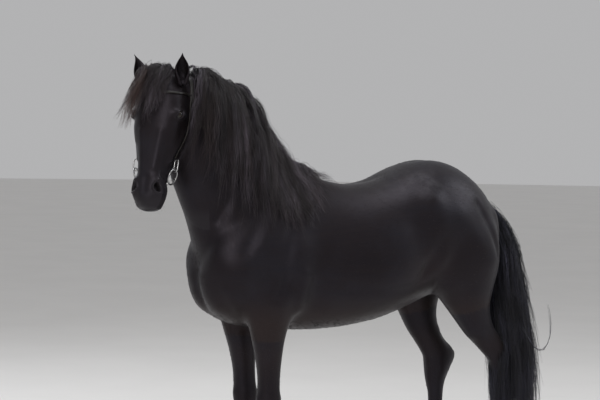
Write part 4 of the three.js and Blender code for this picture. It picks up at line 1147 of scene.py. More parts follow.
def coatFinish():
    finish, tree, shader = newFinish(
        "coat", IOR=1.5, Specular_IOR_Level=0.24, Specular_Tint=(0.9, 0.82, 1, 1),
        Sheen_Weight=0.03, Sheen_Roughness=0.35, Sheen_Tint=(0.72, 0.78, 1, 1),
    )
    place = addNode(tree, "ShaderNodeUVMap", uv_map="OFBake")
    streaks = groupNode(tree, grain, Across=820, Along=120)
    tree.links.new(place.outputs["UV"], streaks.inputs["Place"])
    wide = groupNode(tree, patches, Scale=3.2, Low=0.42, High=0.68)
    small = groupNode(tree, patches, Scale=21, Low=0.4, High=0.7)
    pores = addNode(tree, "ShaderNodeTexVoronoi", {"Scale": 420})
    byObject(tree, wide, small, pores)
    warmth, dust, bare = (attribute(tree, name).outputs["Fac"] for name in ("warmth", "dust", "bare"))
    colour = mixColour(tree, coatTones["black"], coatTones["blue"], wide.outputs["Mask"])
    colour = mixColour(tree, colour, coatTones["brown"], times(tree, streaks.outputs["Tone"], 0.3))
    colour = mixColour(tree, colour, coatTones["brown"], warmth)
    colour = mixColour(tree, colour, coatTones["dust"], times(tree, times(tree, dust, small.outputs["Mask"]), 0.75))
    colour = mixColour(tree, colour, coatTones["bare"], bare)
    paint(tree, shader, colour, remap(tree, streaks.outputs["Height"], 0.3, 0.7, 0.36, 0.52))
    first = bumpTo(tree, shader, times(tree, pores.outputs["Distance"], bare), 0.35, 0.0008)
    bumpTo(tree, shader, streaks.outputs["Height"], 0.42, 0.0007, first)
    return finish


hairTones = {  # dark, light and browned tips, and roughness; the light colour is partly paler hair and partly painted sheen
    "mane": ((0.0042, 0.0038, 0.0052), (0.15, 0.13, 0.165), (0.12, 0.07, 0.058), 0.44),
    "tail": ((0.0042, 0.0046, 0.0078), (0.125, 0.125, 0.19), (0.06, 0.047, 0.04), 0.44),
    # short hair: its dark and light are lifted above the coat's black by a painted sheen, so tufts and fringes match
    # the coat's highlight
    "short": ((0.011, 0.0096, 0.0108), (0.024, 0.021, 0.0225), (0.03, 0.022, 0.018), 0.46),
}


def hairFinish(kind):
    black, pale, browned, rough = hairTones[kind]
    finish, tree, shader = newFinish(f"{kind} hair", IOR=1.55, Specular_IOR_Level=0.36)
    wide = groupNode(tree, patches, Scale=9, Low=0.4, High=0.62)
    ripples = addNode(tree, "ShaderNodeTexNoise", {"Scale": 260, "Detail": 2})
    byObject(tree, wide, ripples)
    tint = attribute(tree, "tint").outputs["Fac"]
    # the lighter locks: partly paler hair, partly painted sheen on the hair
    light = times(tree, times(tree, tint, tint), remap(tree, wide.outputs["Mask"], 0, 1, 0.4, 1))
    strand = mixColour(tree, black, pale, light)
    tipped = mixColour(tree, strand, browned, attribute(tree, "sun").outputs["Fac"])
    paint(tree, shader, tipped, remap(tree, tint, 0, 1, rough - 0.06, rough + 0.1))
    bumpTo(tree, shader, ripples.outputs["Fac"], 0.15, 0.0004)
    return finish


hornTones = {
    "dark": (0.03, 0.027, 0.026), "light": (0.085, 0.072, 0.06), "ring": (0.02, 0.018, 0.018), "dust": (0.2, 0.175, 0.14),
}


def hornFinish():
    finish, tree, shader = newFinish("horn", IOR=1.5, Specular_IOR_Level=0.4)
    waves = {"Scale": 26, "Distortion": 1.6, "Detail": 2, "Detail Scale": 3}
    rings = addNode(tree, "ShaderNodeTexWave", waves, bands_direction="Z")
    stretch = addNode(tree, "ShaderNodeMapping", {"Scale": (1, 1, 0.06)})
    fibres = addNode(tree, "ShaderNodeTexNoise", {"Scale": 420, "Detail": 3})
    wide = groupNode(tree, patches, Scale=30, Low=0.4, High=0.65)
    byObject(tree, rings, stretch, wide)
    tree.links.new(stretch.outputs["Vector"], fibres.inputs["Vector"])
    colour = mixColour(tree, hornTones["dark"], hornTones["light"], times(tree, fibres.outputs["Fac"], 0.6))
    colour = mixColour(tree, colour, hornTones["ring"], times(tree, rings.outputs["Fac"], 0.45))
    colour = mixColour(tree, colour, hornTones["dust"], times(tree, wide.outputs["Mask"], 0.22))
    paint(tree, shader, colour, remap(tree, fibres.outputs["Fac"], 0.3, 0.7, 0.42, 0.6))
    first = bumpTo(tree, shader, rings.outputs["Fac"], 0.5, 0.0012)
    bumpTo(tree, shader, fibres.outputs["Fac"], 0.4, 0.0005, first)
    return finish


leatherTones = {"black": (0.0095, 0.0085, 0.0082), "worn": (0.03, 0.021, 0.015)}


def leatherFinish():
    finish, tree, shader = newFinish("leather", IOR=1.48, Specular_IOR_Level=0.45)
    cells = addNode(tree, "ShaderNodeTexVoronoi", {"Scale": 900}, feature="DISTANCE_TO_EDGE")
    wide = groupNode(tree, patches, Scale=40, Low=0.35, High=0.7)
    byObject(tree, cells, wide)
    worn = times(tree, attribute(tree, "edge").outputs["Fac"], remap(tree, wide.outputs["Mask"], 0, 1, 0.3, 1))
    colour = mixColour(tree, leatherTones["black"], leatherTones["worn"], worn)
    paint(tree, shader, colour, remap(tree, wide.outputs["Mask"], 0, 1, 0.34, 0.5))
    bumpTo(tree, shader, cells.outputs["Distance"], 0.4, 0.0005)
    return finish


threadTones = {"dark": (0.02, 0.018, 0.017), "light": (0.05, 0.045, 0.04)}


def threadFinish():
    finish, tree, shader = newFinish("thread", Roughness=0.7)
    twist = addNode(tree, "ShaderNodeTexWave", {"Scale": 900, "Distortion": 1}, bands_direction="DIAGONAL")
    byObject(tree, twist)
    colour = mixColour(tree, threadTones["dark"], threadTones["light"], twist.outputs["Fac"])
    tree.links.new(colour, shader.inputs["Base Color"])
    bumpTo(tree, shader, twist.outputs["Fac"], 0.4, 0.0003)
    return finish


steelTones = {"bright": (0.46, 0.46, 0.47), "dull": (0.2, 0.19, 0.18)}


def steelFinish():
    finish, tree, shader = newFinish("steel", Metallic=1.0)
    wide = groupNode(tree, patches, Scale=55, Low=0.45, High=0.75)
    scratches = groupNode(tree, grain, Across=1400, Along=160)
    byObject(tree, wide, scratches)
    colour = mixColour(tree, steelTones["bright"], steelTones["dull"], times(tree, wide.outputs["Mask"], 0.5))
    paint(tree, shader, colour, remap(tree, scratches.outputs["Height"], 0.3, 0.7, 0.2, 0.36))
    bumpTo(tree, shader, scratches.outputs["Height"], 0.12, 0.0002)
    return finish


eyeTones = {
    "pupil": (0.0015, 0.0015, 0.002), "iris": ((0.008, 0.0045, 0.0028), (0.022, 0.011, 0.006)),
    "edge": (0.006, 0.005, 0.005), "white": (0.014, 0.011, 0.0105), "tall": 1.75,
}


def eyeFinish():
    # "gaze" holds the places along and across the lids' slit and the gap from the middle, in iris radii
    finish, tree, shader = newFinish("eye", Coat_Weight=0.5, Coat_Roughness=0.03, Coat_IOR=1.36, Specular_IOR_Level=0.3)
    link = tree.links.new
    gaze = attribute(tree, "gaze").outputs["Vector"]
    parts, flat = addNode(tree, "ShaderNodeSeparateXYZ"), addNode(tree, "ShaderNodeCombineXYZ")
    link(gaze, parts.inputs["Vector"])
    link(parts.outputs["X"], flat.inputs["X"])
    link(times(tree, parts.outputs["Y"], eyeTones["tall"]), flat.inputs["Y"])
    pupil = addNode(tree, "ShaderNodeVectorMath", operation="LENGTH")
    link(flat.outputs["Vector"], pupil.inputs[0])
    spokes = addNode(tree, "ShaderNodeTexNoise", {"Scale": 7, "Detail": 5, "Distortion": 0.8})
    link(gaze, spokes.inputs["Vector"])
    colour = mixColour(tree, *eyeTones["iris"], spokes.outputs["Fac"])
    colour = mixColour(tree, eyeTones["pupil"], colour, remap(tree, pupil.outputs["Value"], 0.62, 0.7, 0, 1))
    colour = mixColour(tree, colour, eyeTones["edge"], remap(tree, parts.outputs["Z"], 0.9, 1.0, 0, 1))
    colour = mixColour(tree, colour, eyeTones["white"], remap(tree, parts.outputs["Z"], 1.12, 1.35, 0, 0.8))
    paint(tree, shader, colour, remap(tree, spokes.outputs["Fac"], 0.3, 0.7, 0.08, 0.16))
    return finish


finishes = {
    "coat": coatFinish(), "horn": hornFinish(), "leather": leatherFinish(), "thread": threadFinish(),
    "steel": steelFinish(), "eye": eyeFinish(), **{kind: hairFinish(kind) for kind in hairTones},
}
print("finishes done")


masks = {  # patches: y, z, half length, half height, strength; spots: radius, strength
    "brown": [(480, 950, 120, 110, 0.35)], "dust": [(500, 1318, 110, 52, 0.75), (300, 1285, 120, 30, 0.2)],
    "belly": 0.75, "legTops": 0.3, "muzzle": 0.8,
    # mouth: radius and strength of the painted shade along the crease between the lips
    "nostril": (24, 0.9), "eye": (26, 0.7), "lips": (9, 0.6), "mouth": (4, 0.95),
}


def patchesAt(points, table):
    y, z = points[:, 1], points[:, 2]
    return sum(strength * swell(y - atY, long) * swell(z - atZ, tall) for atY, atZ, long, tall, strength in table)


def coatMasks(points):
    # where the coat is browned, dusty or bare, and a painted shade along the mouth line
    part, z, local = partOf(points), points[:, 2], toHead(points)
    flat = bothSides(local)
    mouth = mouthGap(flat)
    warm = masks["belly"] * (part == 0) * (1 - smoothStep(760, 900, z)) + patchesAt(points, masks["brown"])
    warm += masks["legTops"] * (part >= 3) * smoothStep(500, 640, z) * (1 - smoothStep(640, 720, z))
    bare = masks["muzzle"] * smoothStep(-455, -500, local[:, 2])
    bare += masks["nostril"][1] * swell(gapTo(flat, nostrilShape["place"]), masks["nostril"][0])
    bare += masks["eye"][1] * swell(gapTo(flat, eyePlace["place"]) ** 2, masks["eye"][0] ** 2)
    bare += masks["lips"][1] * swell(mouth, masks["lips"][0])
    # along the mouth line the lighter bare tone is taken away, leaving a dark line of painted shade in the crease
    bare *= (part == 2) * (1 - masks["mouth"][1] * swell(mouth, masks["mouth"][0]))
    return [np.clip(mask, 0, 1) for mask in (warm, patchesAt(points, masks["dust"]), bare)]


for maskName, mask in zip(("warmth", "dust", "bare"), coatMasks(skinPoints)):
    addValues(skin.data, maskName, mask)
skin.data.materials.append(finishes["coat"])
for skinFace in skin.data.polygons:
    skinFace.material_index = 0


# Mane: most of it falls on the left, a shorter part on the right
mane = {
    "from": 1.4, "to": 6.15, "lengths": [250, 320, 430, 520, 570, 550, 430], "left": 330, "right": 62,
    "strands": 27, "rightStrands": 28, "rightShare": 0.5, "seed": 7, "thick": 0.62, "taper": 0.62,
    "pile": (0.66, 0.13), "pileLift": 42, "width": (6, 17), "frizz": (7, 15), "sun": (0, 0.2),
}


def maneGuide(share, side, rng, clearance, stretch):
    station = splineRows(neckStations, np.array([mane["from"] + (mane["to"] - mane["from"]) * share]))[0]
    turn = math.radians(station[10])
    sideways = np.array([math.cos(turn), math.sin(turn), 0])
    root = station[0:3] + sideways * side * rng.uniform(-12, 26)
    pile = swell(share - mane["pile"][0], mane["pile"][1])  # where it stands up from the crest
    start = np.array([0, 0.1 + 0.5 * pile * rng.uniform(0, 1), 0.8]) + sideways * side * (0.9 - 0.35 * pile)
    behind = 0.25 - 0.3 * share - 0.24 * swell(share, 0.14)
    pull = unit([side * 0.12, behind + rng.normal(0, 0.15), -1])
    length = splineRows(np.array(mane["lengths"])[:, None], np.array([share * (len(mane["lengths"]) - 1)]))[0, 0]
    lift = clearance + mane["pileLift"] * pile * rng.uniform(0, 1) ** 1.3
    return growGuide(root, start, pull, 0.5, length * stretch, lift, crest=1.4 + 0.5 * pile)


def maneClumps(side, count, each, stretch, seed):
    rng = np.random.default_rng(seed)
    clumps = []
    for i in range(count):
        share = (i + rng.uniform(0, 1)) / count
        clearance = 3 + (14 + 20 * float(smoothStep(0.36, 0.58, share))) * rng.uniform(0, 1) ** 1.4
        guide = maneGuide(share, side, rng, clearance, stretch * rng.uniform(0.66, 1.07))
        width, frizz = rng.uniform(*mane["width"]), rng.uniform(*mane["frizz"])
        lines, radius, tint = clumpStrands(guide, rng, each, width, mane["taper"], frizz, mane["thick"])
        tint = np.clip(0.4 * tint + rng.uniform(-0.3, 0.95) ** 2, 0, 1)
        clumps.append((lines, radius, tint, rng.uniform(*mane["sun"])))
    return clumps


leftMane = maneClumps(1, mane["left"], mane["strands"], 1.0, mane["seed"])
manePieces = [makeHair(f"mane_left_{i + 1}", leftMane[i::3], finishes["mane"]) for i in range(3)]
rightMane = maneClumps(-1, mane["right"], mane["rightStrands"], mane["rightShare"], mane["seed"] + 1)
manePieces.append(makeHair("mane_right", rightMane, finishes["mane"]))


# Forelock: from between the ears over the forehead, browned by the sun towards the right eye
forelock = {
    "count": 74, "strands": 36, "lengths": (220, 272), "seed": 19, "thick": 0.55, "taper": 0.82,
    "width": (7, 15), "frizz": (4, 9), "sun": (0.12, 0.95), "sunFrom": (0.5, 0.95),
}


def forelockClumps():
    rng = np.random.default_rng(forelock["seed"])
    clumps = []
    for i in range(forelock["count"]):
        share = (i + rng.uniform(0, 1)) / forelock["count"]
        root = fromHead([(44 - 92 * share, rng.uniform(6, 40), 20)])[0]
        start = headDirection((0.25 - 0.75 * share + rng.normal(0, 0.15), -0.8, rng.uniform(0.7, 1.6)))
        pull = unit(headDirection((-0.11 - 0.07 * share + rng.normal(0, 0.09), -0.05, -1)))
        length = (forelock["lengths"][0] * (1 - share) + forelock["lengths"][1] * share) * rng.uniform(0.62, 1.22)
        guide = growGuide(root, start, pull, 0.48, length, 4 + 22 * rng.uniform(0, 1) ** 1.3, crest=1.9)
        width, frizz = rng.uniform(*forelock["width"]), rng.uniform(*forelock["frizz"])
        lines, radius, tint = clumpStrands(
            guide, rng, forelock["strands"], width, forelock["taper"], frizz, forelock["thick"]
        )
        least, most = forelock["sun"]
        sun = most * float(smoothStep(*forelock["sunFrom"], share)) * rng.uniform(0.4, 1) + least
        clumps.append((lines, radius, np.clip(0.6 * tint + rng.uniform(0, 0.5), 0, 1), sun))
    return clumps


forelockPiece = makeHair("forelock", forelockClumps(), finishes["mane"])


# Tail: clumps leave the dock in turn, spread round its line, and hang along it to the tips
tailLine = [  # centre x, y, z, half width
    [0, 905, 1240, 32], [0, 962, 1172, 46], [4, 998, 1080, 56], [20, 1008, 1000, 62], [54, 1006, 826, 74],
    [114, 994, 620, 86], [172, 962, 406, 88], [188, 950, 280, 66], [192, 944, 165, 26],
]
tail = {
    "count": 158, "strands": 34, "seed": 23, "clearance": 7, "lowest": 112, "thick": 0.66, "sway": 15,
    "width": (7, 17), "taper": 0.55, "frizz": (8, 15), "sun": (0, 0.12),
}
wisp = {"count": 34, "strands": 9, "away": (12, 36), "width": (6, 13), "taper": 0.85, "frizz": (5, 10)}
strayCurl = [
    (170, 1013.5, 704.8), (200, 1025.9, 659.0), (230, 1043.0, 621.5), (250, 1070.1, 621.5),
    (262, 1092.1, 679.8), (266, 1085.2, 759.0), (270, 1064.2, 821.5),
]


def tailGuide(turn, spread, first, last, rng):
    share = np.linspace(0, 1, hairTuning["steps"])
    rows = splineRows(tailLine, (first + (last - first) * share) * (len(tailLine) - 1))
    out = np.array([math.cos(turn), math.sin(turn), 0.0])
    sway = tail["sway"] * np.sin(5 * share + rng.uniform(0, 6)) * share**0.7
    reach = rows[:, 3] * spread * np.minimum(1, 0.3 + 2.6 * share) + sway
    path = rows[:, :3] + reach[:, None] * out
    for k in range(1, len(path)):
        path[k] = keepClear(path[k], tail["clearance"])[0]
        path[k, 2] = max(path[k, 2], tail["lowest"])
    return path, np.tile(out, (len(path), 1))


def curlGuide(rng):
    # one stray curl that stands off the tail
    rows = splineRows(strayCurl, np.linspace(0, len(strayCurl) - 1, hairTuning["steps"]))
    return rows + rng.normal(0, 2, 3), np.tile((0.88, -0.47, 0.0), (len(rows), 1))


def tailClumps():
    rng = np.random.default_rng(tail["seed"])
    clumps, thick = [], tail["thick"]
    for i in range(tail["count"]):
        spread = math.sqrt((i + 0.5) / tail["count"])
        guide = tailGuide(2.4 * i, spread, rng.uniform(0, 0.2), rng.uniform(0.76, 1.0), rng)
        width, frizz = rng.uniform(*tail["width"]), rng.uniform(*tail["frizz"])
        lines, radius, tint = clumpStrands(guide, rng, tail["strands"], width, tail["taper"], frizz, thick, 0.3, 0.7)
        tint = np.clip(0.5 * tint + rng.uniform(-0.1, 0.55), 0, 1)
        clumps.append((lines, radius, tint, rng.uniform(*tail["sun"])))
    away = np.linspace(0, 1, hairTuning["steps"])[:, None] ** 2
    for _ in range(wisp["count"]):  # wisps that stand off
        turn, spread = rng.uniform(0.2, 2.0), rng.uniform(0.9, 1.05)
        path, out = tailGuide(turn, spread, rng.uniform(0.05, 0.4), rng.uniform(0.45, 0.95), rng)
        path = path + out * rng.uniform(*wisp["away"]) * away
        width, frizz = rng.uniform(*wisp["width"]), rng.uniform(*wisp["frizz"])
        lines, radius, tint = clumpStrands(
            (path, out), rng, wisp["strands"], width, wisp["taper"], frizz, thick, 0.3, 0.9
        )
        clumps.append((lines, radius, 0.5 * tint, 0.1))
    for _ in range(2):
        clumps.append((*clumpStrands(curlGuide(rng), rng, 4, 3, 0.5, 2, thick, 0.1), 0.1))
    return clumps


allTail = tailClumps()
tailPieces = [makeHair(f"tail_hair_{i + 1}", allTail[i::2], finishes["tail"]) for i in range(2)]


# Fringes: the fetlocks' hair, the hair in the ears, whiskers and lashes
fringe = {
    "fetlock": {"count": 26, "length": (22, 42), "strands": 9, "width": 6, "thick": 0.34, "frizz": 1.2},
    "ear": {"count": 16, "length": (16, 27), "strands": 8, "width": 4, "thick": 0.26, "frizz": 1.5},
    "whisker": {"count": 40, "length": (12, 30), "strands": 1, "width": 0.1, "thick": 0.16, "frizz": 0.5},
    "lash": {"count": 22, "length": (10, 15), "strands": 2, "width": 0.6, "thick": 0.17, "frizz": 0.3},
}
fringeRandom = np.random.default_rng(31)


def straightClump(kind, root, direction, droop, rng):
    look, t = fringe[kind], np.linspace(0, 1, hairTuning["steps"])[:, None]
    length = rng.uniform(*look["length"])
    path = np.asarray(root) - unit(direction) * 2 + unit(direction) * length * t + np.asarray(droop) * length * t**2
    normals = np.tile(unit(np.cross(direction, (0.3, 0.2, 0.9))), (len(path), 1))
    lines, radius, tint = clumpStrands(
        (path, normals), rng, look["strands"], look["width"], 0.4, look["frizz"], look["thick"]
    )
    return lines, radius, 0.6 * tint, 0.0


def fetlockHair(name, rng):
    # behind the fetlock and pastern
    rows = np.array(legs[name])
    order, middle = np.argsort(rows[:, 5]), rows[8, 0]
    for _ in range(fringe["fetlock"]["count"]):
        level = rng.uniform(118, 224)
        back = np.interp(level, rows[order, 5], rows[order, 4])
        x = middle + rng.uniform(-17, 17)
        place, _ = nearest((x, back + 12, level))
        yield straightClump("fetlock", place, np.array([(x - middle) / 40, 0.8, -0.75]), (0, -0.15, -0.6), rng)


def earHair(ear, rng):
    base, tip, front = (np.array(ear[key], float) for key in ("base", "tip", "open"))
    for _ in range(fringe["ear"]["count"]):
        root = base + (tip - base) * rng.uniform(0.05, 0.5) - front * 12
        root += unit(np.cross(tip - base, front)) * rng.uniform(-14, 14)
        way = headDirection(front + unit(tip - base) * 0.8 + rng.normal(0, 0.15, 3))
        yield straightClump("ear", fromHead([root])[0], way, (0, 0, 0), rng)


def whiskers(rng):
    # on the muzzle and chin
    for _ in range(fringe["whisker"]["count"]):
        side = rng.choice((-1, 1))
        p = np.array([side * rng.uniform(8, 52), rng.uniform(70, 128), rng.uniform(-512, -440)])
        place, normal = nearest(fromHead([p])[0])
        yield straightClump("whisker", place, normal + headDirection((0, 0, -0.5)), (0, 0, -0.2), rng)


def lashes(side, rng):
    # along the upper lid
    centre, out, slit, across = eyeAxes(side)
    for u in np.linspace(-0.85, 0.85, fringe["lash"]["count"]):
        edge = centre + slit * u * lidShape["halfLength"] + across * lidShape["upper"] * math.sqrt(1 - 0.8 * u * u)
        way = headDirection(out * 0.9 + across * 0.25 + slit * 0.25 * u + rng.normal(0, 0.06, 3))
        yield straightClump("lash", fromHead([edge + out * (eyePlace["radius"] * 0.62)])[0], way, (0, 0, -0.25), rng)


fringeClumps = [clump for name in stance for clump in fetlockHair(name, fringeRandom)]
fringeClumps += [clump for ear in ears.values() for clump in earHair(ear, fringeRandom)]
fringeClumps += whiskers(fringeRandom)
fringeClumps += [clump for side in (1, -1) for clump in lashes(side, fringeRandom)]
fringes = makeHair("fringes", fringeClumps, finishes["short"])


# Short tufts of the coat, thick where tuftShare is high, lying along the coat
tufts = {
    "perSquareMetre": 8800, "lift": 0.12, "seed": 5, "width": 0.048, "jitter": 0.16, "vary": (0.65, 1.3),
    "attributes": {"tuftShare": "FLOAT", "lie": "FLOAT_VECTOR", "tuftSize": "FLOAT"},
    "sections": [(0, 0.5, 0), (0.55, 0.4, 0.05)],  # level, half width and bow of the blade
}


def tuftBlade():
    # a three-sided blade of unit length along Z that bows a little
    angle = np.radians([90, 210, 330])
    rings = []
    for level, half, bow in tufts["sections"]:
        reach = half * tufts["width"]
        rings.append(np.stack([np.cos(angle) * reach, np.sin(angle) * reach + bow, 0 * angle + level], 1))
    verts, faces = closedRings(np.array(rings), [(0, 0, 0), (0, -0.04, 1)])
    mesh = bpy.data.meshes.new("blade")
    mesh.from_pydata(verts.tolist(), [], faces)
    mesh.shade_smooth()
    addValues(mesh, "along", verts[:, 2])
    return newObject("blade", mesh)


def tuftTree():
    # blades spread over the skin, each turned along the coat and sized by its place
    inputs = {"Skin": "Geometry", "Blade": "Object", "Density": "Float", "Lift": "Float"}
    inputs |= {"Seed": "Int", "Finish": "Material"}
    tree, node = newTree("tufts", inputs, "Tufts", {
        "points": "GeometryNodeDistributePointsOnFaces", "info": "GeometryNodeObjectInfo",
        **{label: "GeometryNodeInputNamedAttribute" for label in tufts["attributes"]},
        **{label: "ShaderNodeVectorMath" for label in ("raise", "way", "swerve")},
        **{label: "FunctionNodeRandomValue" for label in ("jitter", "vary", "tone")},
        **{label: "FunctionNodeAlignRotationToVector" for label in ("turn", "roll")},
        **{label: "ShaderNodeMath" for label in ("scale", "amount")},
        "place": "GeometryNodeInstanceOnPoints", "store": "GeometryNodeStoreNamedAttribute",
        "real": "GeometryNodeRealizeInstances", "finish": "GeometryNodeSetMaterial",
    })
    for label, kind in tufts["attributes"].items():
        node[label].data_type = kind
        node[label].inputs["Name"].default_value = label
    node["raise"].operation = "SCALE"
    node["turn"].axis = "Z"
    node["roll"].axis, node["roll"].pivot_axis = "Y", "Z"
    node["jitter"].data_type = "FLOAT_VECTOR"
    node["jitter"].inputs[0].default_value = (-tufts["jitter"],) * 3
    node["jitter"].inputs[1].default_value = (tufts["jitter"],) * 3
    for label in ("scale", "amount"):
        node[label].operation = "MULTIPLY"
    for label, ends in (("vary", tufts["vary"]), ("tone", (0.0, 1.0))):
        node[label].data_type = "FLOAT"
        node[label].inputs[2].default_value, node[label].inputs[3].default_value = ends
    node["store"].data_type, node["store"].domain = "FLOAT", "INSTANCE"
    node["store"].inputs["Name"].default_value = "tint"
    wire(
        tree, node, "in.Skin points.Mesh", "in.Density amount.0", "tuftShare.Attribute amount.1",
        "amount.0 points.Density", "in.Seed points.Seed", "in.Seed vary.Seed", "in.Seed tone.Seed",
        "in.Seed jitter.Seed", "points.Normal raise.0", "in.Lift raise.Scale", "lie.Attribute way.0",
        "raise.0 way.1", "way.0 swerve.0", "jitter.0 swerve.1", "swerve.0 turn.Vector", "turn.0 roll.Rotation",
        "points.Normal roll.Vector", "tuftSize.Attribute scale.0", "vary.1 scale.1", "in.Blade info.Object",
        "points.Points place.Points", "info.Geometry place.Instance", "roll.0 place.Rotation",
        "scale.0 place.Scale", "place.Instances store.Geometry", "tone.1 store.Value",
        "store.Geometry real.Geometry", "real.Geometry finish.Geometry", "in.Finish finish.Material",
        "finish.Geometry out.Tufts",
    )
    return tree


tuftMaker = tuftTree()
blade = tuftBlade()


def makeTufts(name, seed):
    piece = newObject(name, skin.data.copy())
    values = {"Blade": blade, "Density": tufts["perSquareMetre"], "Lift": tufts["lift"]}
    values |= {"Seed": seed, "Finish": finishes["short"]}
    runTree(piece, tuftMaker, values)
    bakePlaces(piece.data)
    print(name, triangles(piece), "triangles")
    return piece


tuftPieces = [makeTufts(f"coat_tufts_{i + 1}", tufts["seed"] + i) for i in range(2)]
bpy.data.objects.remove(blade)


# Hooves
hoofLook = {"sides": 64, "rings": 16, "ridges": 9, "ridge": 0.6, "ridgeEnd": 0.93, "soleEdge": 2.2, "topEdge": 1.2}


def makeHoof(name):
    coronet = list(legs[name][-1])
    coronet[2] -= hoofShape["gap"]
    coronet[5] -= hoofShape["gap"]
    sole = list(coronet)
    sole[1] -= hoofShape["toe"]
    sole[2], sole[4], sole[5] = 0, sole[4] - hoofShape["heel"], 0
    sole[6] += hoofShape["flare"]
    count, sides = hoofLook["rings"], hoofLook["sides"]
    rows = [[a + (b - a) * t for a, b in zip(coronet, sole)] for t in np.linspace(0, 1, count)]
    verts, faces = loft(rows, sides, 1)
    middle = verts[: count * sides].reshape(count, sides, 3)
    centre = middle.mean(1, keepdims=True)
    t = np.linspace(0, 1, count)[:, None, None]
    rings = hoofLook["ridge"] * np.sin(2 * np.pi * hoofLook["ridges"] * t) * (t < hoofLook["ridgeEnd"])
    edge = -hoofLook["soleEdge"] * (t > 0.985) - hoofLook["topEdge"] * (t < 0.02)
    out = unit((middle - centre) * (1, 1, 0))
    verts[: count * sides] = (middle + out * (rings + edge)).reshape(-1, 3)
    piece = makePiece(f"{name}_horn", verts, faces)
    piece.data.materials.append(finishes["horn"])
    return piece


hooves = {name: makeHoof(name) for name in stance}


# Eyes: a ball with a clear bulge in front of a brown iris
eyeLook = {"iris": 12.5, "bulge": 1.5, "bulgeReach": 9.5, "rings": 40, "sides": 56, "trim": 0.1}


def makeEye(name, side):
    centre, out, slit, across = eyeAxes(side)
    radius, rise = eyePlace["radius"] - eyeLook["trim"], eyeLook["bulge"]
    polar = np.linspace(0, np.pi, eyeLook["rings"] + 2)[1:-1]
    angle = np.linspace(0, 2 * np.pi, eyeLook["sides"], endpoint=False)
    away = radius * np.sin(polar)
    bulge = rise * swell(away**2, eyeLook["bulgeReach"] ** 2) * (polar < np.pi / 2) - rise
    reach = (radius + bulge)[:, None]
    u = reach * np.sin(polar)[:, None] * np.cos(angle)
    v = reach * np.sin(polar)[:, None] * np.sin(angle)
    w = reach * np.cos(polar)[:, None] * np.ones_like(angle)
    rings = centre + u[..., None] * slit + v[..., None] * across + w[..., None] * out
    verts, faces = closedRings(rings, [centre + out * radius, centre - out * (radius - rise)])
    piece = makePiece(name, fromHead(verts), faces)
    d = verts - centre
    gap = np.linalg.norm(d - np.outer(d @ out, out), axis=1)
    gaze = np.stack([d @ slit, d @ across, gap], 1) / eyeLook["iris"]
    gaze[d @ out < 0, 2] = 2
    addValues(piece.data, "gaze", gaze, "FLOAT_VECTOR")
    piece.data.materials.append(finishes["eye"])
    return piece


eyes = {name: makeEye(f"{name}_ball", side) for name, side in (("eye_left", 1), ("eye_right", -1))}
print("hooves and eyes done")


# Bridle: straps laid on the skin along their lines, in the head's frame, left side
strap = {"thick": 3.4, "clearance": 1.6, "steps": 64}
stitch = {"spacing": 4.2, "inset": 2.2, "length": 1.3, "radius": 0.42}
strapEdge = [  # the section: across in half widths, up in thicknesses
    (-1, 0.5), (-0.97, 0.82), (-0.86, 0.98), (-0.5, 1.03), (0, 1.06), (0.5, 1.03), (0.86, 0.98), (0.97, 0.82),
    (1, 0.5), (0.97, 0.15), (0.86, 0.02), (0, 0), (-0.86, 0.02), (-0.97, 0.15),
]
crownLine = [(103, 93, -70), (96, 88, -22), (64, 86, 10), (0, 84, 24)]
browLine = [(102, 92, -57), (100, 58, -60), (90, 22, -68), (50, -4, -74), (0, -12, -75)]
cheekLine = [(101, 92, -54), (104, 104, -150), (96, 110, -220), (84, 94, -311)]
throatTop = (104, 100, -54)
throatLine = [  # in the horse's frame: off the neck's middle, y, z
    (80, -481, 1634), (78, -477, 1576), (78, -462, 1545), (80, -433, 1530),
    (82, -387, 1534), (80, -345, 1566), (80, -332, 1605),
]
neckMiddle = 22
links = {
    "cheek_link": {"place": (84, 92, -340), "normal": (0.4, 0.92, 0), "radius": 10, "stretch": 14, "wire": 2.6},
    "bit_ring": {"place": (74, 95, -384), "normal": (0.95, 0, -0.3), "radius": 32, "stretch": 0, "wire": 3.2},
}
ringLook = {"turns": 72, "sides": 14}
bitEnd = {"from": (67, 91, -408), "to": (54, 85, -418), "radius": 6, "rings": 14, "sides": 28}


def smoothLine(points, steps):
    rows = np.asarray(points, float)
    fine = splineRows(rows, np.linspace(0, len(rows) - 1, steps * 4))
    run = np.r_[0, np.cumsum(np.linalg.norm(np.diff(fine, axis=0), axis=1))]
    at = np.linspace(0, run[-1], steps)
    return np.stack([np.interp(at, run, fine[:, k]) for k in range(3)], 1)


def castOut(start, toward):
    # where a ray from inside leaves the skin for the last time
    start, direction = np.asarray(start, float), unit(np.asarray(toward, float) - start)
    spot, normal, reached = None, None, 0.0
    while True:
        hit, face, _, gap = bodyTree.ray_cast(Vector(start + direction * reached), Vector(direction), 260 - reached)
        if hit is None:
            return spot, normal
        reached += gap + 0.5
        if np.array(face) @ direction > 0:
            spot, normal = np.array(hit), np.array(face)


def smoothRows(rows, rounds):
    for _ in range(rounds):
        rows[1:-1] = 0.5 * rows[1:-1] + 0.25 * (rows[:-2] + rows[2:])
    return rows


def strapPath(line, side=None):
    # points on the skin and its normals; a line in the head's frame, or the throatlatch
    spots, normals = [], []
    for p in smoothLine(line, strap["steps"]):
        if side is None:
            start, toward = fromHead([(0, max(p[1], 100), min(p[2], -60))])[0], fromHead([p])[0]
        else:
            start, toward = (neckMiddle, p[1], p[2]), p
        spot, normal = castOut(start, toward)
        if spot is None:
            spot, normal = nearest(toward)
        spots.append(spot)
        normals.append(normal)
    normals = unit(smoothRows(np.array(normals), 6))
    return smoothRows(np.array(spots), 3) + normals * strap["clearance"], normals


